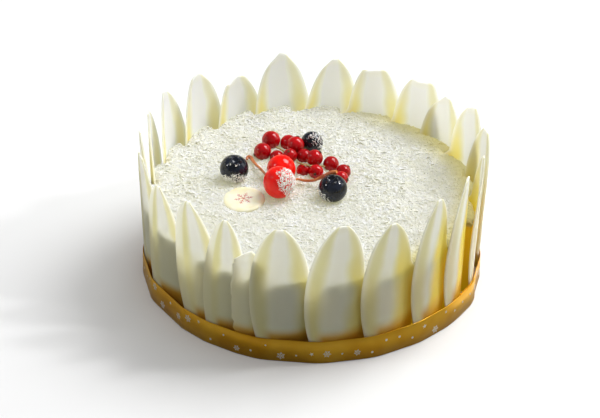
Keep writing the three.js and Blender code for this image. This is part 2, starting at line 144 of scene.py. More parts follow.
def feed(tree: Tree, socket: Socket, thing: Feed) -> None:
    """Links a value or a socket into a socket, or sets the socket's own value.

    Args:
        tree: the tree of both.
        socket: the input.
        thing: what goes in.
    """
    if isinstance(thing, Value):
        tree.links.new(thing.socket, socket)
    elif isinstance(thing, Socket):
        tree.links.new(thing, socket)
    else:
        socket.default_value = thing


def step(tree: Tree, kind: str, feeds: Optional[Dict[str, Feed]] = None, **settings: object) -> Node:
    """Adds a node with its settings and inputs.

    Args:
        tree: the tree to add to.
        kind: the node's type.
        feeds: what goes into the inputs, by name.
        settings: the node's own properties.

    Returns:
        The node.
    """
    node = tree.nodes.new(kind)
    for name, setting in settings.items():
        setattr(node, name, setting)
    for name, thing in (feeds or {}).items():
        feed(tree, entry_of(node, name), thing)
    return node


def entry_of(node: Node, name: str) -> Socket:
    """Finds the input in use among those of one name.

    Args:
        node: the node.
        name: the inputs' name.

    Returns:
        The input.
    """
    found = [s for s in node.inputs if s.name == name and s.enabled]
    return found[0] if found else node.inputs[name]


def exit_of(node: Node) -> Socket:
    """Finds a node's first output in use.

    Args:
        node: the node.

    Returns:
        The output.
    """
    return [s for s in node.outputs if s.enabled][0]


def noise(tree: Tree, scale: float, detail: float, **feeds: Feed) -> Value:
    """Adds soft noise about 0.5.

    Args:
        tree: the tree to add to.
        scale: how many waves there are to a unit of length.
        detail: how much finer noise lies on it.
        feeds: other inputs by name, such as the Vector that it follows.

    Returns:
        The noise.
    """
    node = step(tree, "ShaderNodeTexNoise", {"Scale": scale, "Detail": detail, **feeds})
    return Value(tree, node.outputs[0])


def outwards(x: Value, y: Value) -> Value:
    """How far a point is from the cake's axis.

    Args:
        x: its x.
        y: its y.

    Returns:
        The distance.
    """
    return (x * x + y * y).power(0.5)


class ShapeTree:
    """A geometry tree with named inputs that ends in one plain mesh with its finish."""

    def __init__(self, name: str) -> None:
        """Makes the empty tree.

        Args:
            name: its name.
        """
        self.tree = bpy.data.node_groups.new(name, "GeometryNodeTree")
        for side in ("INPUT", "OUTPUT"):
            self.tree.interface.new_socket("Geometry", in_out=side, socket_type="NodeSocketGeometry")
        self.entry = self.tree.nodes.new("NodeGroupInput")

    @property
    def base(self) -> Socket:
        """The geometry that the tree starts from."""
        return self.entry.outputs["Geometry"]

    def number(self, name: str, start: object = 0.0, kind: str = "NodeSocketFloat") -> Value:
        """Adds a named input.

        Args:
            name: its name.
            start: its default.
            kind: the socket's type.

        Returns:
            The input's value.
        """
        socket = self.tree.interface.new_socket(name, in_out="INPUT", socket_type=kind)
        socket.default_value = start
        return Value(self.tree, self.entry.outputs[name])

    def step(self, kind: str, feeds: Optional[Dict[str, Feed]] = None, **settings: object) -> Node:
        """Adds a node: see step."""
        return step(self.tree, kind, feeds, **settings)

    def take(self, kind: str, feeds: Optional[Dict[str, Feed]] = None, **settings: object) -> Socket:
        """Adds a node and takes its first output in use."""
        return exit_of(step(self.tree, kind, feeds, **settings))

    def place(self) -> Tuple[Value, Value, Value]:
        """The x, y and z of each point."""
        parts = self.step("ShaderNodeSeparateXYZ", {"Vector": self.take("GeometryNodeInputPosition")})
        return tuple(Value(self.tree, s) for s in parts.outputs)

    def together(self, x: Feed, y: Feed, z: Feed) -> Socket:
        """Joins three numbers into a vector."""
        return self.take("ShaderNodeCombineXYZ", {"X": x, "Y": y, "Z": z})

    def vector(self, kind: str, *operands: Feed) -> Socket:
        """Adds one vector math node.

        Args:
            kind: the operation's name.
            operands: what goes into it, in order.

        Returns:
            Its result.
        """
        node = self.step("ShaderNodeVectorMath", operation=kind)
        for socket, thing in zip([s for s in node.inputs if s.enabled], operands):
            feed(self.tree, socket, thing)
        return exit_of(node)

    def chance(self, kind: str, low: Feed, high: Feed, seed: Value) -> Socket:
        """A random value between low and high for each point."""
        return self.take("FunctionNodeRandomValue", {"Min": low, "Max": high, "Seed": seed}, data_type=kind)

    def turned(self, rotation: Socket, spin: Socket) -> Socket:
        """A rotation with a spin about its own axes added."""
        feeds = {"Rotation": rotation, "Rotate By": spin}
        return self.take("FunctionNodeRotateRotation", feeds, rotation_space="LOCAL")

    def join(self, *parts: Socket) -> Socket:
        """Joins geometries in their order.

        Args:
            parts: the geometries.

        Returns:
            All of them as one.
        """
        node = self.step("GeometryNodeJoinGeometry")
        for part in parts:
            self.tree.links.new(part, node.inputs[0])
        return node.outputs[0]

    def copies(
        self, points: Socket, patterns: Sequence[Piece], pick: Value, rotation: Socket, scale: Socket
    ) -> Socket:
        """Puts a copy of one of some patterns on each point.

        Args:
            points: where they go.
            patterns: the objects to choose from.
            pick: the seed of the choice.
            rotation: how each copy is turned.
            scale: how large each copy is.

        Returns:
            The copies.
        """
        kinds = []
        for pattern in patterns:
            info = self.step("GeometryNodeObjectInfo", {"Object": pattern, "As Instance": True})
            kinds.append(info.outputs["Geometry"])
        feeds = {
            "Points": points,
            "Instance": self.join(*kinds),
            "Pick Instance": True,
            "Instance Index": self.chance("INT", 0, len(patterns) - 1, pick),
            "Rotation": rotation,
            "Scale": scale,
        }
        return self.take("GeometryNodeInstanceOnPoints", feeds)

    def finish(self, geometry: Socket, material: Material, smooth: bool = False) -> None:
        """Ends the tree in a plain mesh.

        Args:
            geometry: what the tree has made.
            material: what it wears.
            smooth: whether it is shaded smooth.
        """
        if smooth:
            geometry = self.take("GeometryNodeSetShadeSmooth", {"Geometry": geometry})
        plain = self.take("GeometryNodeRealizeInstances", {"Geometry": geometry})
        dressed = self.take("GeometryNodeSetMaterial", {"Geometry": plain, "Material": material})
        self.tree.links.new(dressed, self.tree.nodes.new("NodeGroupOutput").inputs[0])


# Meshes and pieces


def grow(name: str, mesh: Mesh, shape: ShapeTree, sizes: Dict[str, object]) -> Piece:
    """Runs a tree on a mesh and keeps the result as a plain mesh.

    Args:
        name: the new piece's name.
        mesh: what the tree starts from.
        shape: the tree.
        sizes: the values of its named inputs.

    Returns:
        The piece, with no modifier left.
    """
    piece = new_object(name, mesh)
    modifier = piece.modifiers.new("shape", "NODES")
    modifier.node_group = shape.tree
    for item in shape.tree.interface.items_tree:
        if item.item_type == "SOCKET" and item.in_out == "INPUT" and item.name in sizes:
            modifier[item.identifier] = sizes[item.name]
    return settle(piece)


def settle(piece: Piece) -> Piece:
    """Turns a piece's modifiers into a plain mesh.

    Args:
        piece: the piece with its modifiers.

    Returns:
        The same piece, with no modifier left.
    """
    depsgraph = bpy.context.evaluated_depsgraph_get()
    depsgraph.update()
    plain = bpy.data.meshes.new_from_object(
        piece.evaluated_get(depsgraph), preserve_all_data_layers=True, depsgraph=depsgraph
    )
    piece.modifiers.clear()
    piece.data = plain
    plain.name = piece.name
    return piece


def new_object(name: str, data: bpy.types.ID) -> Piece:
    """Puts a mesh, a light or a camera into the scene.

    Args:
        name: the object's name.
        data: the mesh, light or camera.

    Returns:
        The object.
    """
    piece = bpy.data.objects.new(name, data)
    bpy.context.scene.collection.objects.link(piece)
    return piece


def dressed(mesh: Mesh, material: Material) -> Piece:
    """Puts a mesh into the scene under its own name.

    Args:
        mesh: the mesh.
        material: what it wears.

    Returns:
        The piece.
    """
    mesh.materials.append(material)
    return new_object(mesh.name, mesh)


def closed_mesh(bm: bmesh.types.BMesh, name: str) -> Mesh:
    """Ends a closed shape as a mesh whose faces point outwards.

    Args:
        bm: the shape, which is freed.
        name: the mesh's name.

    Returns:
        The mesh.
    """
    bmesh.ops.recalc_face_normals(bm, faces=bm.faces)
    mesh = bpy.data.meshes.new(name)
    bm.to_mesh(mesh)
    bm.free()
    return mesh


def path_mesh(name: str, spots: Sequence[Sequence[float]]) -> Mesh:
    """Makes a line of edges from spot to spot.

    Args:
        name: the mesh's name.
        spots: where it goes.

    Returns:
        The mesh.
    """
    mesh = bpy.data.meshes.new(name)
    mesh.from_pydata(spots, [(i, i + 1) for i in range(len(spots) - 1)], [])
    return mesh


def stand(piece: Piece, slot: str, *nodes: str) -> Piece:
    """Rides a finished piece on the cake, in the place of the nodes it stands for.

    Args:
        piece: the finished piece.
        slot: the material slot of the record; not used.
        nodes: the nodes that it replaces.

    Returns:
        The piece.
    """
    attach(piece, ROOT)
    if nodes:
        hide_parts(*nodes)
    faces = sum(len(p.vertices) - 2 for p in piece.data.polygons)
    log.info("%s: %d triangles", piece.name, faces)
    return piece


# Finishes


def places(tree: Tree) -> List[Value]:
    """Reads the object coordinates in a material's tree.

    Args:
        tree: the material's tree.

    Returns:
        The x, y and z.
    """
    where = step(tree, "ShaderNodeTexCoord").outputs["Object"]
    place = step(tree, "ShaderNodeSeparateXYZ", {"Vector": where})
    return [Value(tree, place.outputs[axis]) for axis in ("X", "Y", "Z")]


def mark(tree: Tree, name: str) -> Value:
    """Reads a number that a mesh carries at its points.

    Args:
        tree: the material's tree.
        name: the number's name.

    Returns:
        The number.
    """
    return Value(tree, step(tree, "ShaderNodeAttribute", attribute_name=name).outputs["Fac"])


def mixed(tree: Tree, amount: Feed, low: Feed, high: Feed) -> Socket:
    """Mixes two colours.

    Args:
        tree: the tree to add to.
        amount: how much of the second one there is, from 0 to 1.
        low: the colour at 0.
        high: the colour at 1.

    Returns:
        The colour between them.
    """
    feeds = {"Factor": amount, "A": low, "B": high}
    return exit_of(step(tree, "ShaderNodeMix", feeds, data_type="RGBA"))


def tint(tree: Tree, socket: Socket, amount: Value, colour: Colour) -> None:
    """Mixes a colour over what goes into a shader's input.

    Args:
        tree: the material's tree.
        socket: the input.
        amount: where the colour shows, from 0 to 1.
        colour: the colour at 1.
    """
    below = socket.links[0].from_socket if socket.is_linked else tuple(socket.default_value)
    tree.links.new(mixed(tree, amount, below, colour), socket)


def glow(tree: Tree, shader: Node, *lights: Tuple[Value, Colour]) -> None:
    """Adds a painted glow: emission that stands in for the faint light that thin chocolate lets through.

    Args:
        tree: the material's tree.
        shader: its shader.
        lights: each light's place, from 0 to 1, and its colour, later ones over earlier ones.
    """
    shader.inputs["Emission Color"].default_value = BLACK
    shader.inputs["Emission Strength"].default_value = 1.0
    for amount, colour in lights:
        tint(tree, shader.inputs["Emission Color"], amount, colour)


@dataclass(frozen=True)
class Finish:
    """A surface: its colours, gloss and depth of light, and the fine unevenness on it.

    The sizes of its patches and of its grain are in millimetres.
    """

    name: str
    light: Colour
    dark: Colour
    patch: float = 20.0
    rough: float = 0.4
    deep: float = 0.0
    depth: Triple = (1.0, 0.8, 0.4)
    depth_scale: float = 0.004
    coat: float = 0.0
    coat_rough: float = 0.05
    metal: float = 0.0
    grain: float = 0.0
    grain_size: float = 1.0
    tone: float = 0.0
    shine: float = 0.5
    blend: Span = (0.35, 0.65)

    def build(self) -> Material:
        """Makes the material.

        Returns:
            A node-based material on object coordinates.
        """
        material = bpy.data.materials.new(self.name)
        material.use_nodes = True
        tree = material.node_tree
        shader = tree.nodes["Principled BSDF"]
        settings = {
            "Base Color": self.dark,
            "Roughness": self.rough,
            "Metallic": self.metal,
            "Specular IOR Level": self.shine,
            "Coat Weight": self.coat,
            "Coat Roughness": self.coat_rough,
            "Subsurface Weight": self.deep,
            "Subsurface Radius": self.depth,
            "Subsurface Scale": self.depth_scale,
        }
        for name, setting in settings.items():
            shader.inputs[name].default_value = setting
        where = step(tree, "ShaderNodeTexCoord").outputs["Object"]
        amount = noise(tree, 1 / (self.patch * MM), 2.0, Vector=where).ramp(*self.blend)
        if self.tone:
            amount = amount * (1 - self.tone) + mark(tree, "tone") * self.tone
        tint(tree, shader.inputs["Base Color"], amount, self.light)
        if self.grain:
            fine = noise(tree, 1 / (self.grain_size * MM), 3.0, Vector=where)
            feeds = {"Height": fine, "Distance": self.grain * MM, "Strength": 1.0}
            tree.links.new(step(tree, "ShaderNodeBump", feeds).outputs[0], shader.inputs["Normal"])
        self.dress(tree, shader)
        return material

    def dress(self, tree: Tree, shader: Node) -> None:
        """Adds what only one kind of surface has, such as painted light and shade."""


@dataclass(frozen=True)
class LeafFinishAndLight(Finish):
    """White chocolate cast as a thin leaf, near white in the middle, with light and shade painted into its
    colour: yellower to both sides, in the grooves and at the feet, with glows of emission.

    A span is where a ramp starts and where it ends. Those named for x, y or a height are in metres,
    and the others are shares of the leaf's half width or of its height.
    """

    # Painted light and shade over the base colour: the yellow of light through overlapping leaves, and of
    # shade on their curved sides and tips.
    side: Colour = (0.80, 0.72, 0.36, 1)
    # Painted shade high on the sides.
    high_side: Colour = (0.62, 0.60, 0.36, 1)
    # Painted yellow of light through the overlaps, and the shade in them, at the back.
    back_side: Colour = (0.86, 0.68, 0.13, 1)
    # Painted warm shade low on the front left leaves.
    shade_side: Colour = (0.87, 0.80, 0.48, 1)
    # Painted glow of light in the grooves between leaves.
    deep_side: Colour = (1.0, 0.62, 0.02, 1)
    # Painted orange reflection of the gold band, and shade, at the feet.
    foot: Colour = (0.66, 0.33, 0.03, 1)
    # Emission: a painted glow of light through the grooves.
    through: Colour = (0.12, 0.088, 0.0005, 1)
    # Emission: painted light on the back leaves, as if coming through them, which lifts their shade.
    bright: Colour = (0.085, 0.097, 0.097, 1)
    # How the tints fade at the rims, which keeps a painted pale line of light there.
    edge_thin: Span = (0.93, 1.0)
    edge_pale: Span = (0.76, 0.98)
    edge_loss: float = 0.7
    sway: float = 0.25
    sway_scale: float = 60.0
    left: Span = (-0.25, -0.68)
    left_loss: float = 0.3
    right_from: float = 0.3
    right_wide: float = 0.5
    right_ripe: float = 0.75
    right_back: Span = (0.26, 0.2)
    tip: Span = (0.93, 0.985)
    tip_share: float = 0.25
    high: Span = (0.046, 0.062)
    high_share: float = 0.6
    back_y: Span = (0.0, 0.04)
    back_low: Span = (0.08, 0.05)
    back_left: float = 0.6
    back_loss: float = 0.1
    shade_x: Span = (-0.01, -0.05)
    shade_y: Span = (0.0, -0.03)
    shade_low: Span = (0.062, 0.045)
    shade_share: float = 0.75
    foot_from: float = 0.0225
    foot_to: float = 0.0158
    foot_ripe: float = 0.007
    foot_across: Span = (-0.8, -0.3)
    through_low: Span = (0.075, 0.045)
    bright_x: Span = (0.05, 0.0)
    bright_least: float = 0.4

    def dress(self, tree: Tree, shader: Node) -> None:
        """Paints light and shade into the colour: tints the sides by how far a point lies across the leaf,
        and more where leaves overlap, shades the tips and the high sides, puts the band's orange reflection
        on the feet, and adds glows of emission.

        Args:
            tree: the material's tree.
            shader: its shader.
        """
        across, ripe, rise = (mark(tree, name) for name in ("across", "ripe", "rise"))
        x, y, high = places(tree)
        back = y.ramp(*self.back_y)
        far = across.size()
        # The tints fade at the rims, so the rims keep a painted pale line of light.
        edge = far.ramp(*self.edge_thin).rest(self.edge_loss)
        pale = far.ramp(*self.edge_pale).rest(self.edge_loss) * back.rest(self.back_loss)
        where = step(tree, "ShaderNodeTexCoord").outputs["Object"]
        across = across + (noise(tree, self.sway_scale, 1.0, Vector=where) - 0.5) * self.sway
        left = across.ramp(*self.left) * ripe.rest(self.left_loss)
        begin = ripe * -self.right_ripe + self.right_from
        start, end = (back * shift + begin for shift in self.right_back)
        right = across.ramp(start, end + self.right_wide)
        both = left.at_least(right)
        deep = right * ripe * edge
        shaded = x.ramp(*self.shade_x) * y.ramp(*self.shade_y) * high.ramp(*self.shade_low)
        low = high.ramp(ripe * self.foot_ripe + self.foot_from, self.foot_to)
        behind = right.at_least(left * self.back_left) * back * high.ramp(*self.back_low)
        # Painted light and shade: light through overlaps, shade on tips and high sides, warm shade low on
        # the front left, glow in the grooves, the band's reflection and shade at the feet.
        tints = (
            (both.at_least(rise.ramp(*self.tip) * self.tip_share) * pale, self.side),
            (both * high.ramp(*self.high) * pale * self.high_share, self.high_side),
            (behind * pale, self.back_side),
            (shaded * self.shade_share, self.shade_side),
            (deep, self.deep_side),
            (low * across.ramp(*self.foot_across), self.foot),
        )
        for amount, colour in tints:
            tint(tree, shader.inputs["Base Color"], amount, colour)
        # Painted glows of emission: light through the grooves, and light on the back leaves.
        lit = back * (x.ramp(*self.bright_x) * (1 - self.bright_least) + self.bright_least)
        lights = (deep * deep * high.ramp(*self.through_low), self.through), (lit, self.bright)
        glow(tree, shader, *lights)


@dataclass(frozen=True)
class CreamFinishAndLight(Finish):
    """Cream with painted light on its upright side: a golden tint and a glow of emission that stand in for
    light coming through the chocolate round it, in metres.
    """

    golden: Colour = (1.0, 0.74, 0.08, 1)
    through: Colour = (0.10, 0.072, 0.001, 1)
    under: Span = (0.049, 0.046)
    sunny_x: Span = (0.0, 0.085)
    least: float = 0.4

    def dress(self, tree: Tree, shader: Node) -> None:
        """Paints light on the upright side under the shavings, a golden tint and a glow, most on the cake's
        right.

        Args:
            tree: the material's tree.
            shader: its shader.
        """
        x, _, z = places(tree)
        upright, sunny = z.ramp(*self.under), x.ramp(*self.sunny_x)
        # Painted light: the golden tint and the glow on the side, most on the right.
        amount = upright * (sunny * (1 - self.least) + self.least)
        tint(tree, shader.inputs["Base Color"], amount, self.golden)
        glow(tree, shader, (upright * sunny, self.through))


@dataclass(frozen=True)
class ShavingFinishAndGlow(Finish):
    """White chocolate shavings with painted light: a warm glow of emission that lightens the shade in the
    gaps between them, and a golden rim.
    """

    golden: Colour = (0.66, 0.60, 0.26, 1)
    through: Colour = (0.15, 0.145, 0.083, 1)
    rim: Span = (0.078, 0.099)
    sunny_x: Span = (0.0, 0.075)

    def dress(self, tree: Tree, shader: Node) -> None:
        """Paints light and shade: a golden tint on the rim on the cake's right, and an emitted glow that
        stands in for the light that the shavings let through.

        Args:
            tree: the material's tree.
            shader: its shader.
        """
        x, y, _ = places(tree)
        # Painted light and shade from the leaves: a golden tint on the rim at the cake's right.
        amount = outwards(x, y).ramp(*self.rim) * x.ramp(*self.sunny_x)
        tint(tree, shader.inputs["Base Color"], amount, self.golden)
        # Painted glow: emission that lightens the shade in the gaps between the shavings.
        shader.inputs["Emission Color"].default_value = self.through
        shader.inputs["Emission Strength"].default_value = 1.0


PETAL_FINISH_AND_LIGHT = LeafFinishAndLight(
    "ivory_white_chocolate",
    light=(0.975, 0.98, 0.87, 1),
    dark=(0.97, 0.97, 0.84, 1),
    patch=30,
    rough=0.42,
    deep=1.0,
    depth=(1.0, 1.0, 0.92),
    depth_scale=0.008,
    grain=0.02,
    grain_size=2.5,
)
# The cream's dark olive colour is painted shade, for the gaps between the shavings where it shows.
CREAM_FINISH_AND_LIGHT = CreamFinishAndLight(
    "soft_cream",
    light=(0.64, 0.62, 0.40, 1),
    dark=(0.54, 0.51, 0.28, 1),
    patch=12,
    rough=0.6,
    deep=0.3,
    depth=(1.0, 0.9, 0.55),
    depth_scale=0.0015,
    grain=0.12,
    grain_size=0.9,
)
SHAVING_FINISH_AND_GLOW = ShavingFinishAndGlow(
    "white_shavings",
    light=(0.56, 0.57, 0.625, 1),
    dark=(0.52, 0.522, 0.51, 1),
    patch=14,
    rough=0.65,
    deep=0.8,
    depth=(1.0, 0.95, 0.7),
    depth_scale=0.0005,
    tone=0.6,
)
FLAKE_FINISH = Finish(
    "white_flakes", light=(0.96, 0.96, 0.94, 1), dark=(0.92, 0.91, 0.86, 1), patch=3, rough=0.7
)
GOLD_FINISH = Finish(
    "gold_paper",
    light=(0.78, 0.44, 0.03, 1),
    dark=(0.68, 0.34, 0.012, 1),
    patch=25,
    rough=0.4,
    metal=0.9,
    coat=0.2,
    grain=0.03,
    grain_size=4,
)
PRINT_FINISH = Finish(
    "pale_print", light=(0.86, 0.82, 0.78, 1), dark=(0.78, 0.74, 0.72, 1), patch=5, rough=0.5
)
BLUEBERRY_FINISH = Finish(
    "navy_skin",
    light=(0.012, 0.016, 0.028, 1),
    dark=(0.004, 0.005, 0.010, 1),
    patch=4,
    rough=0.35,
    coat=0.9,
    shine=0.0,
    grain=0.03,
    grain_size=1.2,
)
CHERRY_FINISH = Finish(
    "glazed_cherry",
    light=(0.88, 0.009, 0.003, 1),
    dark=(0.78, 0.005, 0.002, 1),
    patch=7,
    rough=0.4,
    deep=0.5,
    depth=(1.0, 0.08, 0.05),
    coat=0.8,
    shine=0.0,
)
CURRANT_FINISH = Finish(
    "currant_skin",
    light=(0.47, 0.002, 0.005, 1),
    dark=(0.30, 0.001, 0.003, 1),
    patch=12,
    rough=0.35,
    deep=0.3,
    depth=(1.0, 0.05, 0.05),
    depth_scale=0.005,
    coat=0.9,
    shine=0.0,
)
REMNANT_FINISH = Finish(
    "dry_remnant", light=(0.16, 0.07, 0.03, 1), dark=(0.06, 0.03, 0.02, 1), patch=1, rough=0.8
)
STEM_FINISH = Finish(
    "glazed_stem", light=(0.58, 0.17, 0.04, 1), dark=(0.42, 0.10, 0.02, 1), patch=4, rough=0.35, coat=0.5
)
STALK_FINISH = Finish(
    "dry_stalk", light=(0.40, 0.28, 0.09, 1), dark=(0.26, 0.20, 0.06, 1), patch=4, rough=0.5
)
DISC_FINISH = Finish(
    "disc_chocolate",
    light=(0.78, 0.755, 0.61, 1),
    dark=(0.73, 0.69, 0.47, 1),
    patch=9,
    rough=0.45,
    deep=0.6,
    depth=(1.0, 0.86, 0.45),
    depth_scale=0.002,
)
DISC_PRINT_FINISH = Finish(
    "red_print", light=(0.62, 0.12, 0.08, 1), dark=(0.50, 0.06, 0.05, 1), patch=2, rough=0.5
)


# The ring of petals

CHIPS = 7
SIDE_CHIPS = CHIPS // 2
FLAT = (0.0,) * CHIPS
PETAL_SIZES = ("turn", "apex", "top", "wide", "lean", "tilt", "slant", "ragged", "lost", "ripe")
LEAST = 0.0002
# Where the painted yellow of light through the leaves is deepest, and how fast it fades to either side.
PEAK_GLOW_TURN, GLOW_WIDTH_BEFORE, GLOW_WIDTH_AFTER, BACK_TURN = 66, 42, 32, 98
GLOW_LEAST = 0.12


@dataclass(frozen=True)
class Petal:
    """One petal of the mould's oval, pushed in to its own depth, in millimetres and degrees.

    The oval would end at the height apex, and the petal's rim is at top. It leans outwards, a tilt
    moves its tip to the right, and the slant puts its right side further in. Each chip raises or
    lowers the rim at one of seven places from left to right. The left side is as ragged as said,
    and its colours are those of an oval that has lost that share there, or has more if below 0,
    which widens the painted yellow of light and shade on that side.
    """

    turn: float
    apex: float
    top: float
    wide: float
    lean: float
    tilt: float
    slant: float
    chip: Tuple[float, ...] = FLAT
    ragged: float = 0.0
    lost: float = 0.0

    @property
    def ripe(self) -> float:
        """How much painted light its sides take, the yellow of light coming through the leaves: most on the
        right, some at the back.

        Returns:
            The share of the deepest painted yellow.
        """
        away = self.turn - PEAK_GLOW_TURN
        right = math.exp(-((away / (GLOW_WIDTH_BEFORE if away < 0 else GLOW_WIDTH_AFTER)) ** 2))
        behind = GLOW_LEAST if abs(self.turn) > BACK_TURN else 0.0
        return GLOW_LEAST + (1 - GLOW_LEAST) * right + behind


@dataclass
class PetalRing:
    """The ring of petals that lean on the cake's side, in millimetres."""

    radius: float = 98.93
    foot: float = 0.3
    half: float = 50.0
    lean_from: float = 15.0
    lean_to: float = 98.0
    bend: float = 72.0
    thick: float = 1.9
    thin_side: float = 0.52
    thin_top: float = 0.35
    top_power: float = 2.2
    side_power: float = 65.0
    end_power: float = 160.0
    roundness: float = 0.6
    tuck: float = 2.5
    tuck_levels: Tuple[float, ...] = (12, 20, 30, 40)
    tucked: Span = (46, 58)
    ragged_side: Span = (-0.55, -1.0)
    ragged_scale: float = 0.3
    tip_from: float = 0.645
    tip_power: float = 3.3
    cap: float = 0.3
    chipped_cap: float = 0.15
    cap_power: float = 16.0
    uneven: float = 0.7
    uneven_size: float = 26.0
    # How the painted light fades from low to high on a leaf.
    ripe_low: Span = (98, 54)
    weld: float = 0.01
    steps: Tuple[int, int] = (29, 47)
    petals: Tuple[Petal, ...] = (
        Petal(-78.5, 91.6, 88, 37, 4.1, -5, 0.21, lost=-0.2),
        Petal(-61.4, 87.5, 86.5, 32.2, 2.7, -2.1, 0.22, lost=-0.2),
        Petal(-42.2, 92.7, 91.9, 32, 1.8, -6.2, 0.18, lost=-0.25),
        Petal(-30.9, 90, 89.1, 26, 1.4, 1.6, 0.19, lost=-0.2),
        Petal(-20.2, 92, 72, 25, 1, 0, 0.2, (-5, -2.6, -0.5, 0.9, -2.5, -4, -5), 3.0, 0.42),
        Petal(-10.3, 93.2, 91.3, 36.2, 1.3, -0.7, 0.21),
        Petal(8.5, 96.2, 94.2, 36.6, 1.2, 3.5, 0.13),
        Petal(27.5, 91.2, 90.2, 36.4, 1.2, 0.8, 0.12),
        Petal(45.6, 95.2, 94, 33, 1.8, 3.1, 0.12),
        Petal(61.2, 97, 94.6, 34.4, 3, 4.2, 0.17),
        Petal(77.6, 94.8, 94, 36.5, 4.1, 1.5, 0.22),
        Petal(94.6, 96.9, 94, 37.5, 4.6, 0, 0.2),
        Petal(108.2, 97.1, 94.2, 37.4, 2.8, 2.6, 0.18, (1.1, 1.5, 1, 0.7, -0.4, -1.3, -1.9)),
        Petal(127, 86.5, 82.8, 35.8, 2, 0.6, 0.2, (-1, 1.2, 2.6, 3, 1, -1, -2.5)),
        Petal(139.2, 94.3, 86.4, 36.7, 1.8, -0.4, 0.17, (1.5, 1.3, 0.4, -0.5, -0.8, 0.5, -0.8)),
        Petal(156.8, 89.8, 83.4, 36.4, 1.8, 3.2, 0.17, (1.2, 1.3, 0.7, 0.3, -0.1, 0.4, 0.9)),
        Petal(174, 87.8, 86.2, 34.6, 1.8, -2.2, 0.18, (-0.5, 0.7, 0.7, 0.6, 0.8, -0.2, -1.5)),
        Petal(-168, 93.5, 88.6, 37.4, 1.9, 1.3, 0.22, (-1.7, 1.4, 2.9, 3.2, 0.8, -1.2, -2.6)),
        Petal(-152.2, 84.6, 78.9, 37.8, 2, 3.2, 0.22, (0.2, 0.8, 1.1, 0.2, -1, -1.4, -0.4)),
        Petal(-135.5, 95.4, 91.2, 38.6, 2.1, 2.7, 0.18, (-2.6, -0.6, 0.9, 0.9, 1, 0.3, -0.4)),
        Petal(-118.8, 97, 94.7, 38.2, 2.5, 5, 0.15, (-2.4, -0.6, 0, 0.8, 1.8, 1.8, 1)),
        Petal(-104.2, 95.6, 94, 37.6, 3.4, 2.6, 0.2),
        Petal(-91.5, 94.4, 92.8, 36, 4.6, 0, 0.18, (-1.6, -1, -0.4, 0, 0, 0.2, 0.3)),
    )

    def half_width(self, petal: Petal, z: float) -> float:
        """How far a petal's edges are from its middle line at a height."""
        s = (z - petal.apex + self.half) / self.half
        return petal.wide / 2 * max(1 - s * s, LEAST) ** self.roundness

    def middle(self, petal: Petal, z: float) -> float:
        """Where a tilted petal's middle line is at a height."""
        return math.tan(math.radians(petal.tilt)) * (z - petal.apex + self.half)

    def tuck_of(self, number: int) -> float:
        """How much further a petal's hidden side goes, low down, to reach behind the next one.

        Args:
            number: the petal's place in the ring, from 0.

        Returns:
            What is added to its width there.
        """
        petal = self.petals[number]
        after = self.petals[(number + 1) % len(self.petals)]
        apart = math.radians((after.turn - petal.turn) % 360) * self.radius
        most = 0.0
        for z in self.tuck_levels:
            own = self.middle(petal, z) + self.half_width(petal, z)
            edge = apart + self.middle(after, z) - self.half_width(after, z)
            most = max(most, edge + self.tuck - own)
        return most

    def shape(self, material: Material) -> ShapeTree:
        """The rule of one petal: a closed, rounded leaf between its outer and inner face.

        Args:
            material: the finish of the petals.

        Returns:
            The tree, with the petal's sizes as its inputs.
        """
        t = ShapeTree("petal_rule")
        n = {name: t.number(name) for name in (*PETAL_SIZES, "tuck", "cap", "seed")}
        wide, high = self.steps
        feeds = {"Size X": 2.0, "Size Y": 1.0, "Vertices X": wide, "Vertices Y": high}
        marked = t.take("GeometryNodeMeshGrid", feeds)
        gx, gy, _ = t.place()
        u = (gx * (math.pi / 2)).sine()
        w = ((gy + 0.5) * math.pi).cosine() * -0.5 + 0.5
        level = (n["top"] - self.foot) * w + self.foot
        from_middle = level - n["apex"] + self.half
        s = from_middle / self.half
        narrowed = (s * s).rest().at_least(LEAST).power(self.roundness)
        half = n["wide"] * narrowed * 0.5
        half = half + n["tuck"] * level.ramp(*self.tucked).rest() * u.above(0)
        middle = (n["tilt"] * (math.pi / 180)).tangent() * from_middle
        broken = noise(t.tree, self.ragged_scale, 4.0, Vector=t.together(0.0, level, 3.0))
        jag = (broken - 0.5) * 2 * n["ragged"] * u.ramp(*self.ragged_side)
        x = u * half + middle + jag
        chips = u * 0
        for k in range(CHIPS):
            bump = (u - (k / SIDE_CHIPS - 1)).size().rest(SIDE_CHIPS).at_least(0)
            chips = chips + bump * t.number(f"chip_{k}")
        tip = ((w - self.tip_from) / (1 - self.tip_from)).at_least(0).power(self.tip_power)
        blunt = n["cap"] * narrowed * n["wide"] * 0.5
        z = level + chips * tip - blunt * (u * u).arch().rest() * w.power(self.cap_power)
        thick = (u * u * u * u).rest(self.thin_side) * w.power(self.top_power).rest(self.thin_top)
        thick = thick * self.thick
        ends = (w * 2 - 1).size().power(self.end_power).arch()
        body = u.size().power(self.side_power).arch() * ends * thick * 0.5
        wobble = noise(t.tree, 1 / self.uneven_size, 1.0, Vector=t.together(x, level, n["seed"]))
        reach = x * n["slant"] * -1 - x * x / (2 * self.bend) + self.radius
        lean = n["lean"] * (z - self.lean_from).at_least(0) / (self.lean_to - self.lean_from)
        mid = reach + lean - thick * 0.5 + (wobble - 0.5) * self.uneven
        angle = n["turn"] * (math.pi / 180) + x / self.radius
        # The leaf carries where it lies across and up, for the painted light of its finish, and how strong
        # that painted light is.
        marks = {
            "across": u * n["lost"].rest() + n["lost"],
            "ripe": n["ripe"] * level.ramp(*self.ripe_low),
            "rise": w,
        }
        for name, value in marks.items():
            feeds = {"Geometry": marked, "Name": name, "Value": value}
            marked = t.take("GeometryNodeStoreNamedAttribute", feeds)

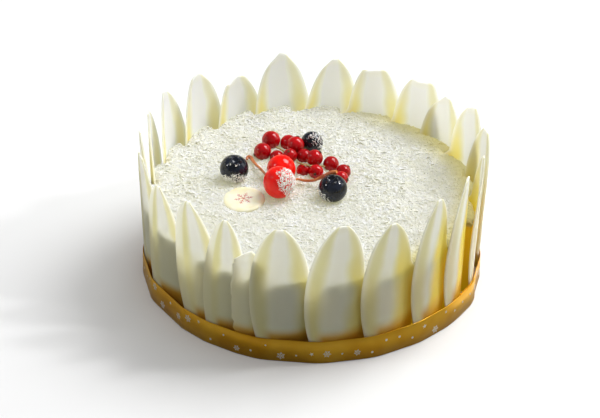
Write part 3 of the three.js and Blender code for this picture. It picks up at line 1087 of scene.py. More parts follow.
        def face(sign: float) -> Socket:
            """Lays the grid on one side of the leaf.

            Args:
                sign: 1 for the outer side, -1 for the inner one.

            Returns:
                The side.
            """
            far = (mid + body * sign) * MM
            spot = t.together(far * angle.sine(), far * angle.cosine() * -1, z * MM)
            return t.take("GeometryNodeSetPosition", {"Geometry": marked, "Position": spot})

        back = t.take("GeometryNodeFlipFaces", {"Mesh": face(-1)})
        both = t.join(back, face(1))
        feeds = {"Geometry": both, "Distance": self.weld * MM}
        t.finish(t.take("GeometryNodeMergeByDistance", feeds), material, smooth=True)
        return t

    def build(self) -> None:
        """Makes each petal in the place of its node."""
        rule = self.shape(PETAL_FINISH_AND_LIGHT.build())
        for number, petal in enumerate(self.petals):
            sizes = {name: float(getattr(petal, name)) for name in PETAL_SIZES}
            sizes.update({f"chip_{k}": float(chip) for k, chip in enumerate(petal.chip)})
            sizes["tuck"] = self.tuck_of(number)
            sizes["cap"] = self.cap if petal.chip == FLAT else self.chipped_cap
            sizes["seed"] = 37.0 * number
            label = f"{number + 1:02d}"
            piece = grow("leaf_" + label, bpy.data.meshes.new("start"), rule, sizes)
            stand(piece, "petal_chocolate", "petal_" + label)


# Shavings

NARROWING = 0.55
TWIST = 0.5
BOW_SIDEWAYS, BOW_UP = 0.8, 0.5
SPIN, LENGTH, UNEVEN, KIND, TONE = 11, 23, 37, 53, 71


class Cut(Enum):
    """The kinds of white chocolate shaving, by their steps, and their width and thickness when 1 long."""

    STRIP = (3, 0.34, 0.16)
    CURL = (6, 0.30, 0.10)
    SHRED = (1, 0.90, 0.36)
    GRAIN = (1, 0.70, 0.50)


def shaving_mesh(cut: Cut, bow: float, name: str) -> Mesh:
    """One shaving along x, about the origin, 1 long.

    Args:
        cut: its kind.
        bow: how far it curls sideways and up.
        name: the mesh's name.

    Returns:
        A closed three-sided strip.
    """
    pieces, wide, thick = cut.value
    bm = bmesh.new()
    rings = []
    for i in range(pieces + 1):
        s = i / pieces
        rise = bow * (1 - (2 * s - 1) ** 2)
        full = 1 - NARROWING * (2 * s - 1) ** 2
        ring = []
        for k in range(3):
            a = 2 * math.pi * (k / 3) + TWIST * s
            y = wide / 2 * full * math.cos(a) + rise * BOW_SIDEWAYS
            z = thick * full * math.sin(a) + rise * BOW_UP
            ring.append(bm.verts.new((s - 0.5, y, z)))
        rings.append(ring)
    for a, b in zip(rings, rings[1:]):
        for k in range(3):
            m = (k + 1) % 3
            bm.faces.new((a[k], b[k], b[m], a[m]))
    bm.faces.new(rings[0])
    bm.faces.new(list(reversed(rings[-1])))
    return closed_mesh(bm, name)


@dataclass(frozen=True)
class Cover:
    """How shavings lie on a surface, in metres.

    The density is for a square metre and the tilt in radians. They lie above the lowest height, up
    to the widest radius, where a face looks more along the aim than spread says.
    """

    density: float
    seed: int
    shortest: float
    longest: float
    tilt: float = 0.6
    lift: float = 0.0002
    lowest: float = 0.0485
    spread: float = 0.1
    aim: Triple = (0.0, 0.0, 1.0)
    widest: float = 0.102


@dataclass
class Scatter:
    """Shavings that lie on a surface: one tree that spreads seeded, uneven copies of a cut."""

    cut: Cut
    bows: Sequence[float] = (0.0, 0.12, -0.15, 0.25)
    patchy: float = 0.7
    patch_scale: float = 260.0
    few_long: float = 1.6
    least: Triple = (0.85, 0.7, 0.7)
    most: Triple = (1.15, 1.5, 1.4)

    def shape(self, material: Material, patterns: Sequence[Piece]) -> ShapeTree:
        """The rule of the spread.

        Args:
            material: the finish of the shavings.
            patterns: single shavings to copy.

        Returns:
            The tree, with the fields of a cover as its inputs.
        """
        t = ShapeTree("spread_" + self.cut.name.lower())
        names = ("density", "shortest", "longest", "tilt", "lift", "lowest", "spread", "widest")
        n = {name: t.number(name) for name in names}
        seed = t.number("seed", 1, "NodeSocketInt")
        aim = t.number("aim", (0.0, 0.0, 1.0), "NodeSocketVector")
        x, y, z = t.place()
        facing = Value(t.tree, t.vector("DOT_PRODUCT", t.take("GeometryNodeInputNormal"), aim))
        edge = facing + (noise(t.tree, self.patch_scale, 1.0) - 0.5) * self.patchy
        inside = z.above(n["lowest"]) * outwards(x, y).above(n["widest"]).rest()
        chosen = edge.above(n["spread"]) * inside
        feeds = {"Mesh": t.base, "Selection": chosen, "Density": n["density"], "Seed": seed}
        spots = t.step("GeometryNodeDistributePointsOnFaces", feeds)
        tilt = n["tilt"]
        low, high = t.together(tilt * -1, tilt * -1, -math.pi), t.together(tilt, tilt, math.pi)
        spin = t.chance("FLOAT_VECTOR", low, high, seed + SPIN)
        turned = t.turned(spots.outputs["Rotation"], spin)
        drawn = Value(t.tree, t.chance("FLOAT", 0.0, 1.0, seed + LENGTH)).power(self.few_long)
        length = drawn * (n["longest"] - n["shortest"]) + n["shortest"]
        uneven = t.chance("FLOAT_VECTOR", self.least, self.most, seed + UNEVEN)
        raised = t.vector("SCALE", spots.outputs["Normal"], n["lift"])
        lifted = t.take(
            "GeometryNodeSetPosition", {"Geometry": spots.outputs["Points"], "Offset": raised}
        )
        laid = t.copies(lifted, patterns, seed + KIND, turned, t.vector("SCALE", uneven, length))
        toned = t.take(
            "GeometryNodeStoreNamedAttribute",
            {"Geometry": laid, "Name": "tone", "Value": t.chance("FLOAT", 0.0, 1.0, seed + TONE)},
            data_type="FLOAT",
            domain="INSTANCE",
        )
        t.finish(toned, material)
        return t

    def spread(self, name: str, surface: Piece, material: Material, cover: Cover) -> Piece:
        """Spreads shavings over a piece and keeps them as one plain mesh.

        Args:
            name: the new piece's name.
            surface: the piece to cover.
            material: the finish of the shavings.
            cover: how they lie.

        Returns:
            The new piece.
        """
        patterns = []
        for k, bow in enumerate(self.bows):
            label = f"cut_{self.cut.name.lower()}_{k}"
            patterns.append(new_object(label, shaving_mesh(self.cut, bow, label)))
        shape = self.shape(material, patterns)
        piece = grow(name, surface.data.copy(), shape, asdict(cover))
        for pattern in patterns:
            bpy.data.objects.remove(pattern)
        return stand(piece, "cream")


# The cake itself


@dataclass
class CakeBody:
    """The cake under its bed of shavings, in metres."""

    voxel: float = 0.0013
    weld: float = 1e-6
    soften: int = 5
    soften_share: float = 0.5
    bed_from: float = 0.049
    rough_high: float = 0.00045
    rough_scale: float = 330.0
    push: float = 0.0012
    push_up: Span = (0.044, 0.050)
    push_out: Span = (0.078, 0.086)
    droop: float = 0.0016
    droop_out: Span = (0.0935, 0.0995)

    def bed_shape(self, material: Material) -> ShapeTree:
        """The bed's own unevenness: small lumps on whatever faces up, and a rim that droops.

        Args:
            material: the cream's finish.

        Returns:
            The tree.
        """
        t = ShapeTree("bed_rule")
        names = ("rough_high", "bed_from", "push", "droop")
        n = {name: t.number(name, getattr(self, name)) for name in names}
        x, y, z = t.place()
        out = outwards(x, y)
        lumps = (noise(t.tree, self.rough_scale, 3.0, Roughness=0.65) - 0.5) * 2 * n["rough_high"]
        move = (lumps - out.ramp(*self.droop_out) * n["droop"]) * z.above(n["bed_from"])
        push = z.ramp(*self.push_up) * out.ramp(*self.push_out) * n["push"] / out
        feeds = {"Geometry": t.base, "Offset": t.together(x * push, y * push, move)}
        t.finish(t.take("GeometryNodeSetPosition", feeds), material, smooth=True)
        return t

    def build(self) -> Piece:
        """Makes the cake's body in the form of its node.

        Returns:
            The piece, which the shavings lie on.
        """
        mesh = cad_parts["cake_body"].data.copy()
        bm = bmesh.new()
        bm.from_mesh(mesh)
        bmesh.ops.remove_doubles(bm, verts=bm.verts, dist=self.weld)
        bm.to_mesh(mesh)
        bm.free()
        mesh.materials.clear()
        raw = new_object("cake", mesh)
        fill = raw.modifiers.new("even", "REMESH")
        fill.mode = "VOXEL"
        fill.voxel_size = self.voxel
        soften = raw.modifiers.new("soften", "SMOOTH")
        soften.factor = self.soften_share
        soften.iterations = self.soften
        even = settle(raw).data
        bpy.data.objects.remove(raw)
        body = grow("cake", even, self.bed_shape(CREAM_FINISH_AND_LIGHT.build()), asdict(self))
        return stand(body, "cream", "cake_body")


@dataclass
class Topping:
    """The white chocolate shavings that cover the top, in five pieces."""

    covers: Tuple[Tuple[str, Cut, Cover], ...] = (
        ("grains", Cut.GRAIN, Cover(760000, 5, 0.001, 0.002, 0.6, 0.0002)),
        ("shreds", Cut.SHRED, Cover(760000, 9, 0.0016, 0.0034, 0.3, 0.0003)),
        ("splinters", Cut.SHRED, Cover(760000, 13, 0.0016, 0.0034, 0.35, 0.0005)),
        ("strips", Cut.STRIP, Cover(200000, 3, 0.0022, 0.0046, 0.25, 0.0006)),
        ("curls", Cut.CURL, Cover(3000, 7, 0.003, 0.0052, 0.2, 0.0003)),
    )

    def build(self, body: Piece) -> None:
        """Spreads the shavings over the top of the cake.

        Args:
            body: the cake's body.
        """
        finish = SHAVING_FINISH_AND_GLOW.build()
        share = 1.0
        for name, cut, cover in self.covers:
            thinned = replace(cover, density=cover.density * share)
            Scatter(cut).spread("shavings_" + name, body, finish, thinned)


# Turned fruit

Dent = Callable[[float, float, float], Span]


def turned_mesh(
    name: str, outline: Sequence[Span], segments: int, facing: Triple, at: Triple, scale: Span, dent: Dent
) -> Mesh:
    """Turns an outline round an axis and stands that axis along a direction.

    Args:
        name: the mesh's name.
        outline: radius and height pairs from pole to pole, both ends on the axis.
        segments: how many steps round.
        facing: where the axis points.
        at: where the middle goes.
        scale: the size of a radius of 1 and of a height of 1.
        dent: changes a point's radius and height, given its angle too.

    Returns:
        A smooth closed mesh.
    """
    bm = bmesh.new()
    swing = UP.rotation_difference(Vector(facing).normalized())
    rings = []
    for j, (radius, height) in enumerate(outline):
        ring = []
        for i in range(1 if j in (0, len(outline) - 1) else segments):
            a = 2 * math.pi * i / segments
            r, h = dent(a, radius, height)
            spot = Vector((r * scale[0] * math.cos(a), r * scale[0] * math.sin(a), h * scale[1]))
            ring.append(bm.verts.new(swing @ spot + Vector(at)))
        rings.append(ring)
    for a, b in zip(rings, rings[1:]):
        for i in range(segments):
            k = (i + 1) % segments
            corners = [a[i % len(a)], a[k % len(a)], b[k % len(b)], b[i % len(b)]]
            bm.faces.new(list(dict.fromkeys(corners))).smooth = True
    return closed_mesh(bm, name)


def arc(squash: float, start: float, end: float, steps: int) -> Tuple[Span, ...]:
    """An arc of a circle with a radius of 1, as an outline to be turned.

    Args:
        squash: its height as a share of the circle's.
        start: the angle where it starts, from the level, in degrees.
        end: the angle where it ends.
        steps: how many steps it has.

    Returns:
        Radius and height pairs.
    """
    angles = [math.radians(start + (end - start) * i / steps) for i in range(steps + 1)]
    return tuple((max(math.cos(a), 0.0), squash * math.sin(a)) for a in angles)


@dataclass(frozen=True)
class Fruit:
    """Where a fruit lies, its radius and where its crown or stem end faces, in millimetres."""

    at: Triple
    radius: float
    facing: Triple
    fuller: float = 1.05

    @property
    def size(self) -> float:
        """Its radius in metres, with the glaze on it."""
        return self.radius * self.fuller * MM

    @property
    def spot(self) -> Triple:
        """Its middle in metres."""
        return tuple(c * MM for c in self.at)

    def turn(self, name: str, outline: Sequence[Span], segments: int, dent: Dent) -> Mesh:
        """Turns an outline for a radius of 1 to this fruit's size and place: see turned_mesh."""
        scale = (self.size, self.size)
        return turned_mesh(name, outline, segments, self.facing, self.spot, scale, dent)


@dataclass
class Blueberries:
    """The blueberries with their star-shaped crowns, drawn for a radius of 1."""

    segments: int = 40
    crown_low: float = 0.86
    crown_wide: float = 0.42
    lobes: int = 5
    lobe_reach: float = 0.12
    lobe_drop: float = 0.035
    outline: Tuple[Span, ...] = (
        *arc(0.94, -90, 64, 20),
        (0.40, 0.90), (0.375, 0.945), (0.335, 0.965), (0.30, 0.955), (0.265, 0.90),
        (0.22, 0.82), (0.15, 0.775), (0.0, 0.77),
    )
    fruits: Tuple[Fruit, ...] = (
        Fruit((-47, 12.4, 61.6), 8.2, (0.1, -0.35, 1)),
        Fruit((11.9, -7.3, 61.6), 8.2, (-0.1, -0.25, 1)),
        Fruit((-0.9, 46.9, 59.5), 6.4, (0.3, 1, 0.1)),
    )

    def star(self, a: float, radius: float, height: float) -> Span:
        """Pulls the crown's rim out into lobes.

        Args:
            a: the point's angle.
            radius: its radius.
            height: its height.

        Returns:
            Its new radius and height.
        """
        if height < self.crown_low or radius > self.crown_wide:
            return radius, height
        lobe = math.cos(self.lobes * a)
        return radius * (1 + self.lobe_reach * lobe), height - self.lobe_drop * (1 - lobe)

    def build(self) -> List[Piece]:
        """Makes the blueberries.

        Returns:
            The pieces, for flakes to lie on.
        """
        skin = BLUEBERRY_FINISH.build()
        made = []
        for number, fruit in enumerate(self.fruits, 1):
            name = f"blueberry_{number}"
            mesh = fruit.turn(name + "_skin", self.outline, self.segments, self.star)
            made.append(stand(dressed(mesh, skin), "blueberry", name))
        return made


@dataclass
class Cherries:
    """The two glazed cherries, drawn for a radius of 1."""

    segments: int = 48
    waist: float = 0.985
    cheek: float = 0.012
    seam: float = 0.02
    seam_wide: float = 0.03
    outline: Tuple[Span, ...] = (
        *((radius, max(height, -0.93)) for radius, height in arc(0.95, -90, 62, 22)),
        (0.40, 0.87), (0.32, 0.885), (0.24, 0.87), (0.16, 0.825), (0.08, 0.785), (0.0, 0.77),
    )
    front: Fruit = Fruit((-20, -6.1, 64.3), 9.8, (0.75, 0.62, -0.22), 1.0)
    back: Fruit = Fruit((-19, 13, 61.3), 9.1, (-1, -0.38, -0.12), 1.0)

    def plump(self, a: float, radius: float, height: float) -> Span:
        """Two soft cheeks with a faint seam between them."""
        seam = self.seam * math.exp(-(math.sin(a / 2) ** 2) / self.seam_wide)
        return radius * (self.waist + self.cheek * math.cos(2 * a) - seam), height

    def build(self) -> List[Piece]:
        """Makes the cherries.

        Returns:
            The pieces, the front one first, for flakes to lie on.
        """
        skin = CHERRY_FINISH.build()
        made = []
        for name, fruit in (("cherry_front", self.front), ("cherry_back", self.back)):
            mesh = fruit.turn(name + "_skin", self.outline, self.segments, self.plump)
            made.append(stand(dressed(mesh, skin), "cherry", name))
        return made


@dataclass
class Currants:
    """The red currants with the dry remnants of their flowers, drawn for a radius of 1."""

    segments: int = 40
    ribs: int = 10
    rib: float = 0.006
    slim: float = 0.99
    tuft_segments: int = 20
    tuft_points: int = 5
    tuft_ragged: float = 0.28
    outline: Tuple[Span, ...] = arc(0.99, -90, 90, 18)
    tuft: Tuple[Span, ...] = (
        (0.0, 0.96), (0.13, 0.97), (0.19, 1.02), (0.15, 1.065), (0.07, 1.02), (0.0, 1.0),
    )
    fruits: Tuple[Fruit, ...] = (
        Fruit((-25.7, 48.9, 59.3), 5.4, (0.6, 0.6, 0.3)),
        Fruit((-30.6, 36.9, 58.5), 5.1, (-0.6, -0.2, -0.2)),
        Fruit((-15.1, 48.9, 57.3), 4.9, (0.2, 1, 0.3)),
        Fruit((-10.8, 40.4, 61.4), 5.1, (0.3, 0.5, 1)),
        Fruit((-21.8, 32.4, 57.3), 4.2, (-0.5, -0.4, 0.2)),
        Fruit((-14, 29.9, 60.4), 4.2, (-0.2, -0.4, 1)),
        Fruit((-5.6, 32.5, 58.3), 4.5, (0.1, 0.6, 1)),
        Fruit((0.8, 25.8, 61.6), 4.9, (0.7, 0.2, 0.8)),
        Fruit((-5.7, 19.3, 56.6), 4.2, (-0.2, -0.9, -0.3)),
        Fruit((1.8, 15, 58.7), 4.3, (-0.15, -1, 0.25)),
        Fruit((10.7, 25.2, 58), 4.6, (0.3, 0.8, 0.4)),
        Fruit((18.2, 17.9, 57.3), 4.3, (0.8, 0.5, 0.7)),
        Fruit((16.8, 9, 58.1), 4.3, (0.9, -0.5, 0.2)),
    )

    def ribbed(self, a: float, radius: float, height: float) -> Span:
        """Very faint ribs from end to end."""
        return radius * (self.slim + self.rib * math.cos(self.ribs * a)), height

    def build(self) -> None:
        """Makes the currants and their remnants."""
        skin = CURRANT_FINISH.build()
        dry = REMNANT_FINISH.build()
        for number, fruit in enumerate(self.fruits, 1):
            name = f"red_currant_{number:02d}"
            mesh = fruit.turn(name + "_skin", self.outline, self.segments, self.ribbed)
            stand(dressed(mesh, skin), "red_currant", name)

            def ragged(a: float, radius: float, height: float, start: float = fruit.at[0]) -> Span:
                """Splits the tuft's rim into points."""
                return radius * (1 + self.tuft_ragged * math.cos(self.tuft_points * a + start)), height

            mesh = fruit.turn(name + "_end", self.tuft, self.tuft_segments, ragged)
            stand(dressed(mesh, dry), "stalk")


# Stems

Route = Tuple[Tuple[float, float, float, float], ...]


@dataclass
class Stems:
    """The cherries' stems and the currants' stalk, each by its slot and its route.

    A route's points are x, y, z and radius in millimetres.
    """

    steps: int = 40
    sides: int = 12
    knots_scale: float = 420.0
    knots: Span = (0.82, 0.3)
    routes: Tuple[Tuple[str, str, Route], ...] = (
        ("cherry_stem_back", "cherry_stem", (
            (-28.2, 8.8, 60, 0.85), (-31.1, 16.6, 58.7, 0.85), (-34.2, 23.3, 57.7, 0.85),
            (-36.3, 28.6, 57.2, 1.0), (-37.5, 31, 57.7, 1.15), (-39.3, 32, 57.7, 1.0),
            (-39.8, 30.2, 57, 0.8),
        )),
        ("cherry_stem_front", "cherry_stem", (
            (-11.5, 2, 61, 0.85), (-8.6, 6.2, 58.9, 0.8), (-4.7, 5.9, 58.1, 0.8),
            (0.1, 4.6, 59.2, 0.9), (4.2, 4, 61.4, 1.1), (7.8, 2.6, 64.2, 1.4),
            (11.3, 2, 66.4, 1.6), (14, 1, 68, 1.1),
        )),
        ("currant_stalk", "stalk", (
            (-22.6, 43.2, 57.8, 0.5), (-19.5, 41.3, 57.3, 0.5), (-16.5, 38.8, 56.9, 0.5),
            (-13.4, 33.8, 56.3, 0.5), (-10, 29, 56.6, 0.5), (-6.7, 18.2, 62, 0.5),
            (-2.5, 18.6, 60.6, 0.5), (1.7, 20.3, 59.7, 0.5), (4.7, 20.4, 59.4, 0.5),
            (7.1, 20.5, 58.9, 0.45),
        )),
    )

    def shape(self, material: Material) -> ShapeTree:
        """The rule of a stem: a round tube along a smooth path, with closed ends.

        Args:
            material: the stem's finish.

        Returns:
            The tree.
        """
        t = ShapeTree("stem_rule")
        line = t.take("GeometryNodeMeshToCurve", {"Mesh": t.base})
        kind = t.take("GeometryNodeCurveSplineType", {"Curve": line}, spline_type="CATMULL_ROM")
        fine = t.take("GeometryNodeResampleCurve", {"Curve": kind, "Count": self.steps})
        own = Value(t.tree, t.take("GeometryNodeInputNamedAttribute", {"Name": "girth"}, data_type="FLOAT"))
        thinnest, knotty = self.knots
        girth = own * (noise(t.tree, self.knots_scale, 1.0) * knotty + thinnest)
        ring = t.take("GeometryNodeCurvePrimitiveCircle", {"Resolution": self.sides, "Radius": 1.0})
        feeds = {"Curve": fine, "Profile Curve": ring, "Fill Caps": True, "Scale": girth}
        t.finish(t.take("GeometryNodeCurveToMesh", feeds), material, smooth=True)
        return t

    def build(self) -> None:
        """Makes the stems."""
        finishes = {"cherry_stem": STEM_FINISH.build(), "stalk": STALK_FINISH.build()}
        rules = {slot: self.shape(material) for slot, material in finishes.items()}
        for name, slot, route in self.routes:
            mesh = path_mesh(name + "_path", [[c * MM for c in p[:3]] for p in route])
            girth = mesh.attributes.new("girth", "FLOAT", "POINT")
            girth.data.foreach_set("value", [p[3] * MM for p in route])
            stand(grow(name + "_tube", mesh, rules[slot], {}), slot, name)


# Plain prints

Stroke = Tuple[Span, Span, float]


def plate(bm: bmesh.types.BMesh, corners: Sequence[Vector], thick: float) -> None:
    """Adds a thin level plate.

    Args:
        bm: where it goes.
        corners: its lower corners in turn.
        thick: how thick it is.
    """
    lower = [bm.verts.new(c) for c in corners]
    upper = [bm.verts.new(c + UP * thick) for c in corners]
    bm.faces.new(upper)
    bm.faces.new(list(reversed(lower)))
    for i in range(len(corners)):
        k = (i + 1) % len(corners)
        bm.faces.new((lower[i], lower[k], upper[k], upper[i]))


def snowflake(
    bm: bmesh.types.BMesh, strokes: Sequence[Stroke], size: float, thick: float, turn: float, taper: float
) -> None:
    """Adds a flat snowflake of six like arms.

    Args:
        bm: where it goes.
        strokes: each straight stroke of an arm: its start, its end and half its width.
        size: what a length of 1 in the strokes stands for.
        thick: how thick it is.
        turn: how far it is turned, in degrees.
        taper: a stroke's width at its end, as a share of that at its start.
    """
    for arm in range(6):
        swing = Matrix.Rotation(math.radians(60 * arm + turn), 3, "Z")
        for start, end, wide in strokes:
            a, b = Vector((*start, 0)), Vector((*end, 0))
            side = Vector((-(b - a).y, (b - a).x, 0)).normalized() * wide
            corners = (a - side, b - side * taper, b + side * taper, a + side)
            plate(bm, [swing @ p * size for p in corners], thick)


@dataclass
class ChocolateDisc:
    """The small disc of white chocolate with a thin red snowflake, in millimetres."""

    at: Triple = (-40.7, -11.5, 54.9)
    facing: Triple = (-0.05, -0.06, 1)
    radius: float = 12.7
    thick: float = 2.6
    segments: int = 64
    slim: float = 0.99
    waves: Tuple[Span, ...] = ((3, 0.008), (7, 0.004))
    outline: Tuple[Span, ...] = (
        (0.0, -0.5), (0.5, -0.5), (0.90, -0.5), (0.96, -0.36), (0.99, -0.2), (1.0, 0.0), (0.985, 0.16),
        (0.95, 0.3), (0.90, 0.41), (0.82, 0.475), (0.7, 0.49), (0.4, 0.5), (0.0, 0.5),
    )
    strokes: Tuple[Stroke, ...] = (
        ((0.0, 0.0), (0.46, 0.0), 0.012),
        ((0.18, 0.0), (0.27, 0.1), 0.012),
        ((0.18, 0.0), (0.27, -0.1), 0.012),
        ((0.31, 0.0), (0.38, 0.075), 0.012),
        ((0.31, 0.0), (0.38, -0.075), 0.012),
    )
    print_thick: float = 0.06
    print_turn: float = 12.0
    print_taper: float = 0.6

    def handmade(self, a: float, radius: float, height: float) -> Span:
        """A rim that isn't quite round."""
        (few, deep), (many, fine) = self.waves
        return radius * (self.slim + deep * math.cos(few * a + 1) + fine * math.cos(many * a)), height

    def build(self) -> None:
        """Makes the disc and lays its snowflake on it."""
        wide, high = self.radius * MM, self.thick * MM
        spot = tuple(c * MM for c in self.at)
        mesh = turned_mesh(
            "disc_plate", self.outline, self.segments, self.facing, spot, (wide, high), self.handmade
        )
        stand(dressed(mesh, DISC_FINISH.build()), "disc_chocolate", "white_chocolate_disc")
        bm = bmesh.new()
        snowflake(bm, self.strokes, wide, self.print_thick * MM, self.print_turn, self.print_taper)
        swing = UP.rotation_difference(Vector(self.facing).normalized())
        for vert in bm.verts:
            vert.co = swing @ (vert.co + UP * (high / 2)) + Vector(spot)
        mesh = closed_mesh(bm, "disc_snowflake")
        stand(dressed(mesh, DISC_PRINT_FINISH.build()), "disc_chocolate")


# The gold paper band


class Motif(Enum):
    """The small plain shapes printed on the band; a star and a dot by their outer and inner radius."""

    SNOWFLAKE = (0.5, 0.06)
    STAR = (0.30, 0.12)
    DOT = (0.16, 0.16)


MOTIF_THICK = 0.01
STAR_POINTS = 5
SPIN_DRAW, RISE_DRAW, PICK_DRAW, SIZE_DRAW = 3, 9, 21, 33
MOTIF_STROKES = (
    ((0.06, 0.0), (0.5, 0.0), 0.045),
    ((0.24, 0.0), (0.36, 0.14), 0.04),
    ((0.24, 0.0), (0.36, -0.14), 0.04),
)


def motif_mesh(motif: Motif, name: str) -> Mesh:
    """One motif, flat in x and y, thin in z, about 1 across.

    Args:
        motif: which shape.
        name: the mesh's name.

    Returns:
        A closed thin mesh.
    """
    bm = bmesh.new()
    if motif is Motif.SNOWFLAKE:
        snowflake(bm, MOTIF_STROKES, 1.0, MOTIF_THICK, 0.0, 1.0)
    else:
        corners = []
        for i in range(2 * STAR_POINTS):
            a, far = math.pi * i / STAR_POINTS, motif.value[i % 2]
            corners.append(Vector((far * math.cos(a), far * math.sin(a), 0)))
        plate(bm, corners, MOTIF_THICK)
    return closed_mesh(bm, name)


@dataclass
class GoldBand:
    """The gold paper band round the petals' feet, in metres, with its lap's turns in degrees."""

    thick: float = 0.0004
    foot: float = 0.0003
    top: float = 0.0152
    fillet: float = 0.00012
    lap_start: float = 61.0
    lap_end: float = 73.0
    fold_gap: float = 0.0008
    fold_window: int = 2
    rim: float = 0.0005
    motif_gap: float = 0.009
    motif_rise: float = 0.0042
    motif_spin: float = 3.0
    motif_seed: int = 4
    motif_sizes: Span = (0.0036, 0.0052)
    print_from: int = 28
    print_lift: float = 0.51
    motifs: Tuple[Motif, ...] = (Motif.SNOWFLAKE, Motif.DOT, Motif.STAR, Motif.SNOWFLAKE, Motif.DOT)

    def path(self) -> List[Vector]:
        """Reads where the band runs from its node.

        Returns:
            Places along the middle of the paper, from its inner end to its outer end.
        """
        rim: Dict[float, set] = {}
        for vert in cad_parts["gold_band"].data.vertices:
            x, y, z = vert.co
            if z > self.top - self.rim:
                turn = round(math.degrees(math.atan2(x, -y)), 2)
                rim.setdefault(turn, set()).add(round(math.hypot(x, y), 5))
        found = []
        for turn, radii in rim.items():
            inner = turn >= self.lap_start and turn != self.lap_end
            if inner:
                found.append((turn, min(radii) + self.thick / 2))
            if not inner or (turn < self.lap_end and len(radii) > 2):
                found.append((turn + 360, max(radii) - self.thick / 2))
        corners = []
        for turn, far in sorted(found):
            a = math.radians(turn)
            corners.append(Vector((far * math.sin(a), -far * math.cos(a), 0.0)))
        return self.eased(corners)

    def eased(self, corners: List[Vector]) -> List[Vector]:
        """Rounds the folds over the petals' edges a little.

        Args:
            corners: the places where the paper bends.

        Returns:
            Closely spaced places.
        """
        fine = []
        for a, b in zip(corners, corners[1:]):
            count = max(1, round((b - a).length / self.fold_gap))
            fine += [a.lerp(b, i / count) for i in range(count)]
        fine.append(corners[-1])
        soft = []
        for i in range(len(fine)):
            reach = min(self.fold_window, i, len(fine) - 1 - i)
            near = fine[i - reach : i + reach + 1]
            soft.append(sum(near, Vector()) / len(near))
        return soft

    def strip_shape(self, material: Material) -> ShapeTree:
        """The rule of the paper strip: a thin upright section along the path.

        Args:
            material: the gold finish.

        Returns:
            The tree.
        """
        t = ShapeTree("band_rule")
        thick, high = t.number("thick", self.thick), t.number("high", self.top - self.foot)
        line = t.take("GeometryNodeMeshToCurve", {"Mesh": t.base})
        upright = t.take("GeometryNodeSetCurveNormal", {"Curve": line}, mode="Z_UP")
        section = t.take("GeometryNodeCurvePrimitiveQuadrilateral", {"Width": thick, "Height": high})
        edge = t.take("GeometryNodeFilletCurve", {"Curve": section, "Radius": self.fillet})
        feeds = {"Curve": upright, "Profile Curve": edge, "Fill Caps": True}
        t.finish(t.take("GeometryNodeCurveToMesh", feeds), material)
        return t

    def motif_shape(self, material: Material, patterns: Sequence[Piece]) -> ShapeTree:
        """The rule of the print: small plain shapes at even steps, at seeded heights and turns.

        Args:
            material: the print's finish.
            patterns: the shapes to copy.

        Returns:
            The tree.
        """
        t = ShapeTree("motif_rule")
        gap, rise = t.number("gap", self.motif_gap), t.number("rise", self.motif_rise)
        seed = t.number("seed", self.motif_seed, "NodeSocketInt")
        line = t.take("GeometryNodeMeshToCurve", {"Mesh": t.base})
        spots = t.step("GeometryNodeCurveToPoints", {"Curve": line, "Length": gap}, mode="LENGTH")
        out = t.vector("CROSS_PRODUCT", spots.outputs["Tangent"], tuple(UP))
        facing = t.take("FunctionNodeAlignRotationToVector", {"Vector": out}, axis="Z")
        most = self.motif_spin
        spin = t.chance("FLOAT_VECTOR", (0.0, 0.0, -most), (0.0, 0.0, most), seed + SPIN_DRAW)
        low, high = t.together(0.0, 0.0, rise * -1), t.together(0.0, 0.0, rise)
        shift = t.chance("FLOAT_VECTOR", low, high, seed + RISE_DRAW)
        moved = t.take("GeometryNodeSetPosition", {"Geometry": spots.outputs[0], "Offset": shift})
        size = t.chance("FLOAT", *self.motif_sizes, seed + SIZE_DRAW)
        laid = t.copies(moved, patterns, seed + PICK_DRAW, t.turned(facing, spin), size)
        t.finish(laid, material)
        return t

    def build(self) -> None:
        """Makes the paper strip and its print."""
        spots = self.path()
        middle = (self.top + self.foot) / 2
        paper = path_mesh("band_path", [(p.x, p.y, middle) for p in spots])
        sizes = {"thick": self.thick, "high": self.top - self.foot}
        rule = self.strip_shape(GOLD_FINISH.build())
        stand(grow("gold_paper_band", paper, rule, sizes), "gold_paper", "gold_band")
        outer = []
        for a, b in zip(spots[self.print_from :], spots[self.print_from + 2 :]):
            out = (b - a).normalized().cross(UP)
            outer.append((a + b) / 2 + out * self.thick * self.print_lift)
        patterns = []
        for number, motif in enumerate(self.motifs):
            name = f"motif_{number}"
            patterns.append(new_object(name, motif_mesh(motif, name)))
        print_path = path_mesh("print_path", [(p.x, p.y, middle) for p in outer])
        sizes = {"gap": self.motif_gap, "rise": self.motif_rise, "seed": self.motif_seed}
        rule = self.motif_shape(PRINT_FINISH.build(), patterns)
        printed = grow("band_print", print_path, rule, sizes)
        for pattern in patterns:
            bpy.data.objects.remove(pattern)
        stand(printed, "gold_paper")


# Flakes on the fruit


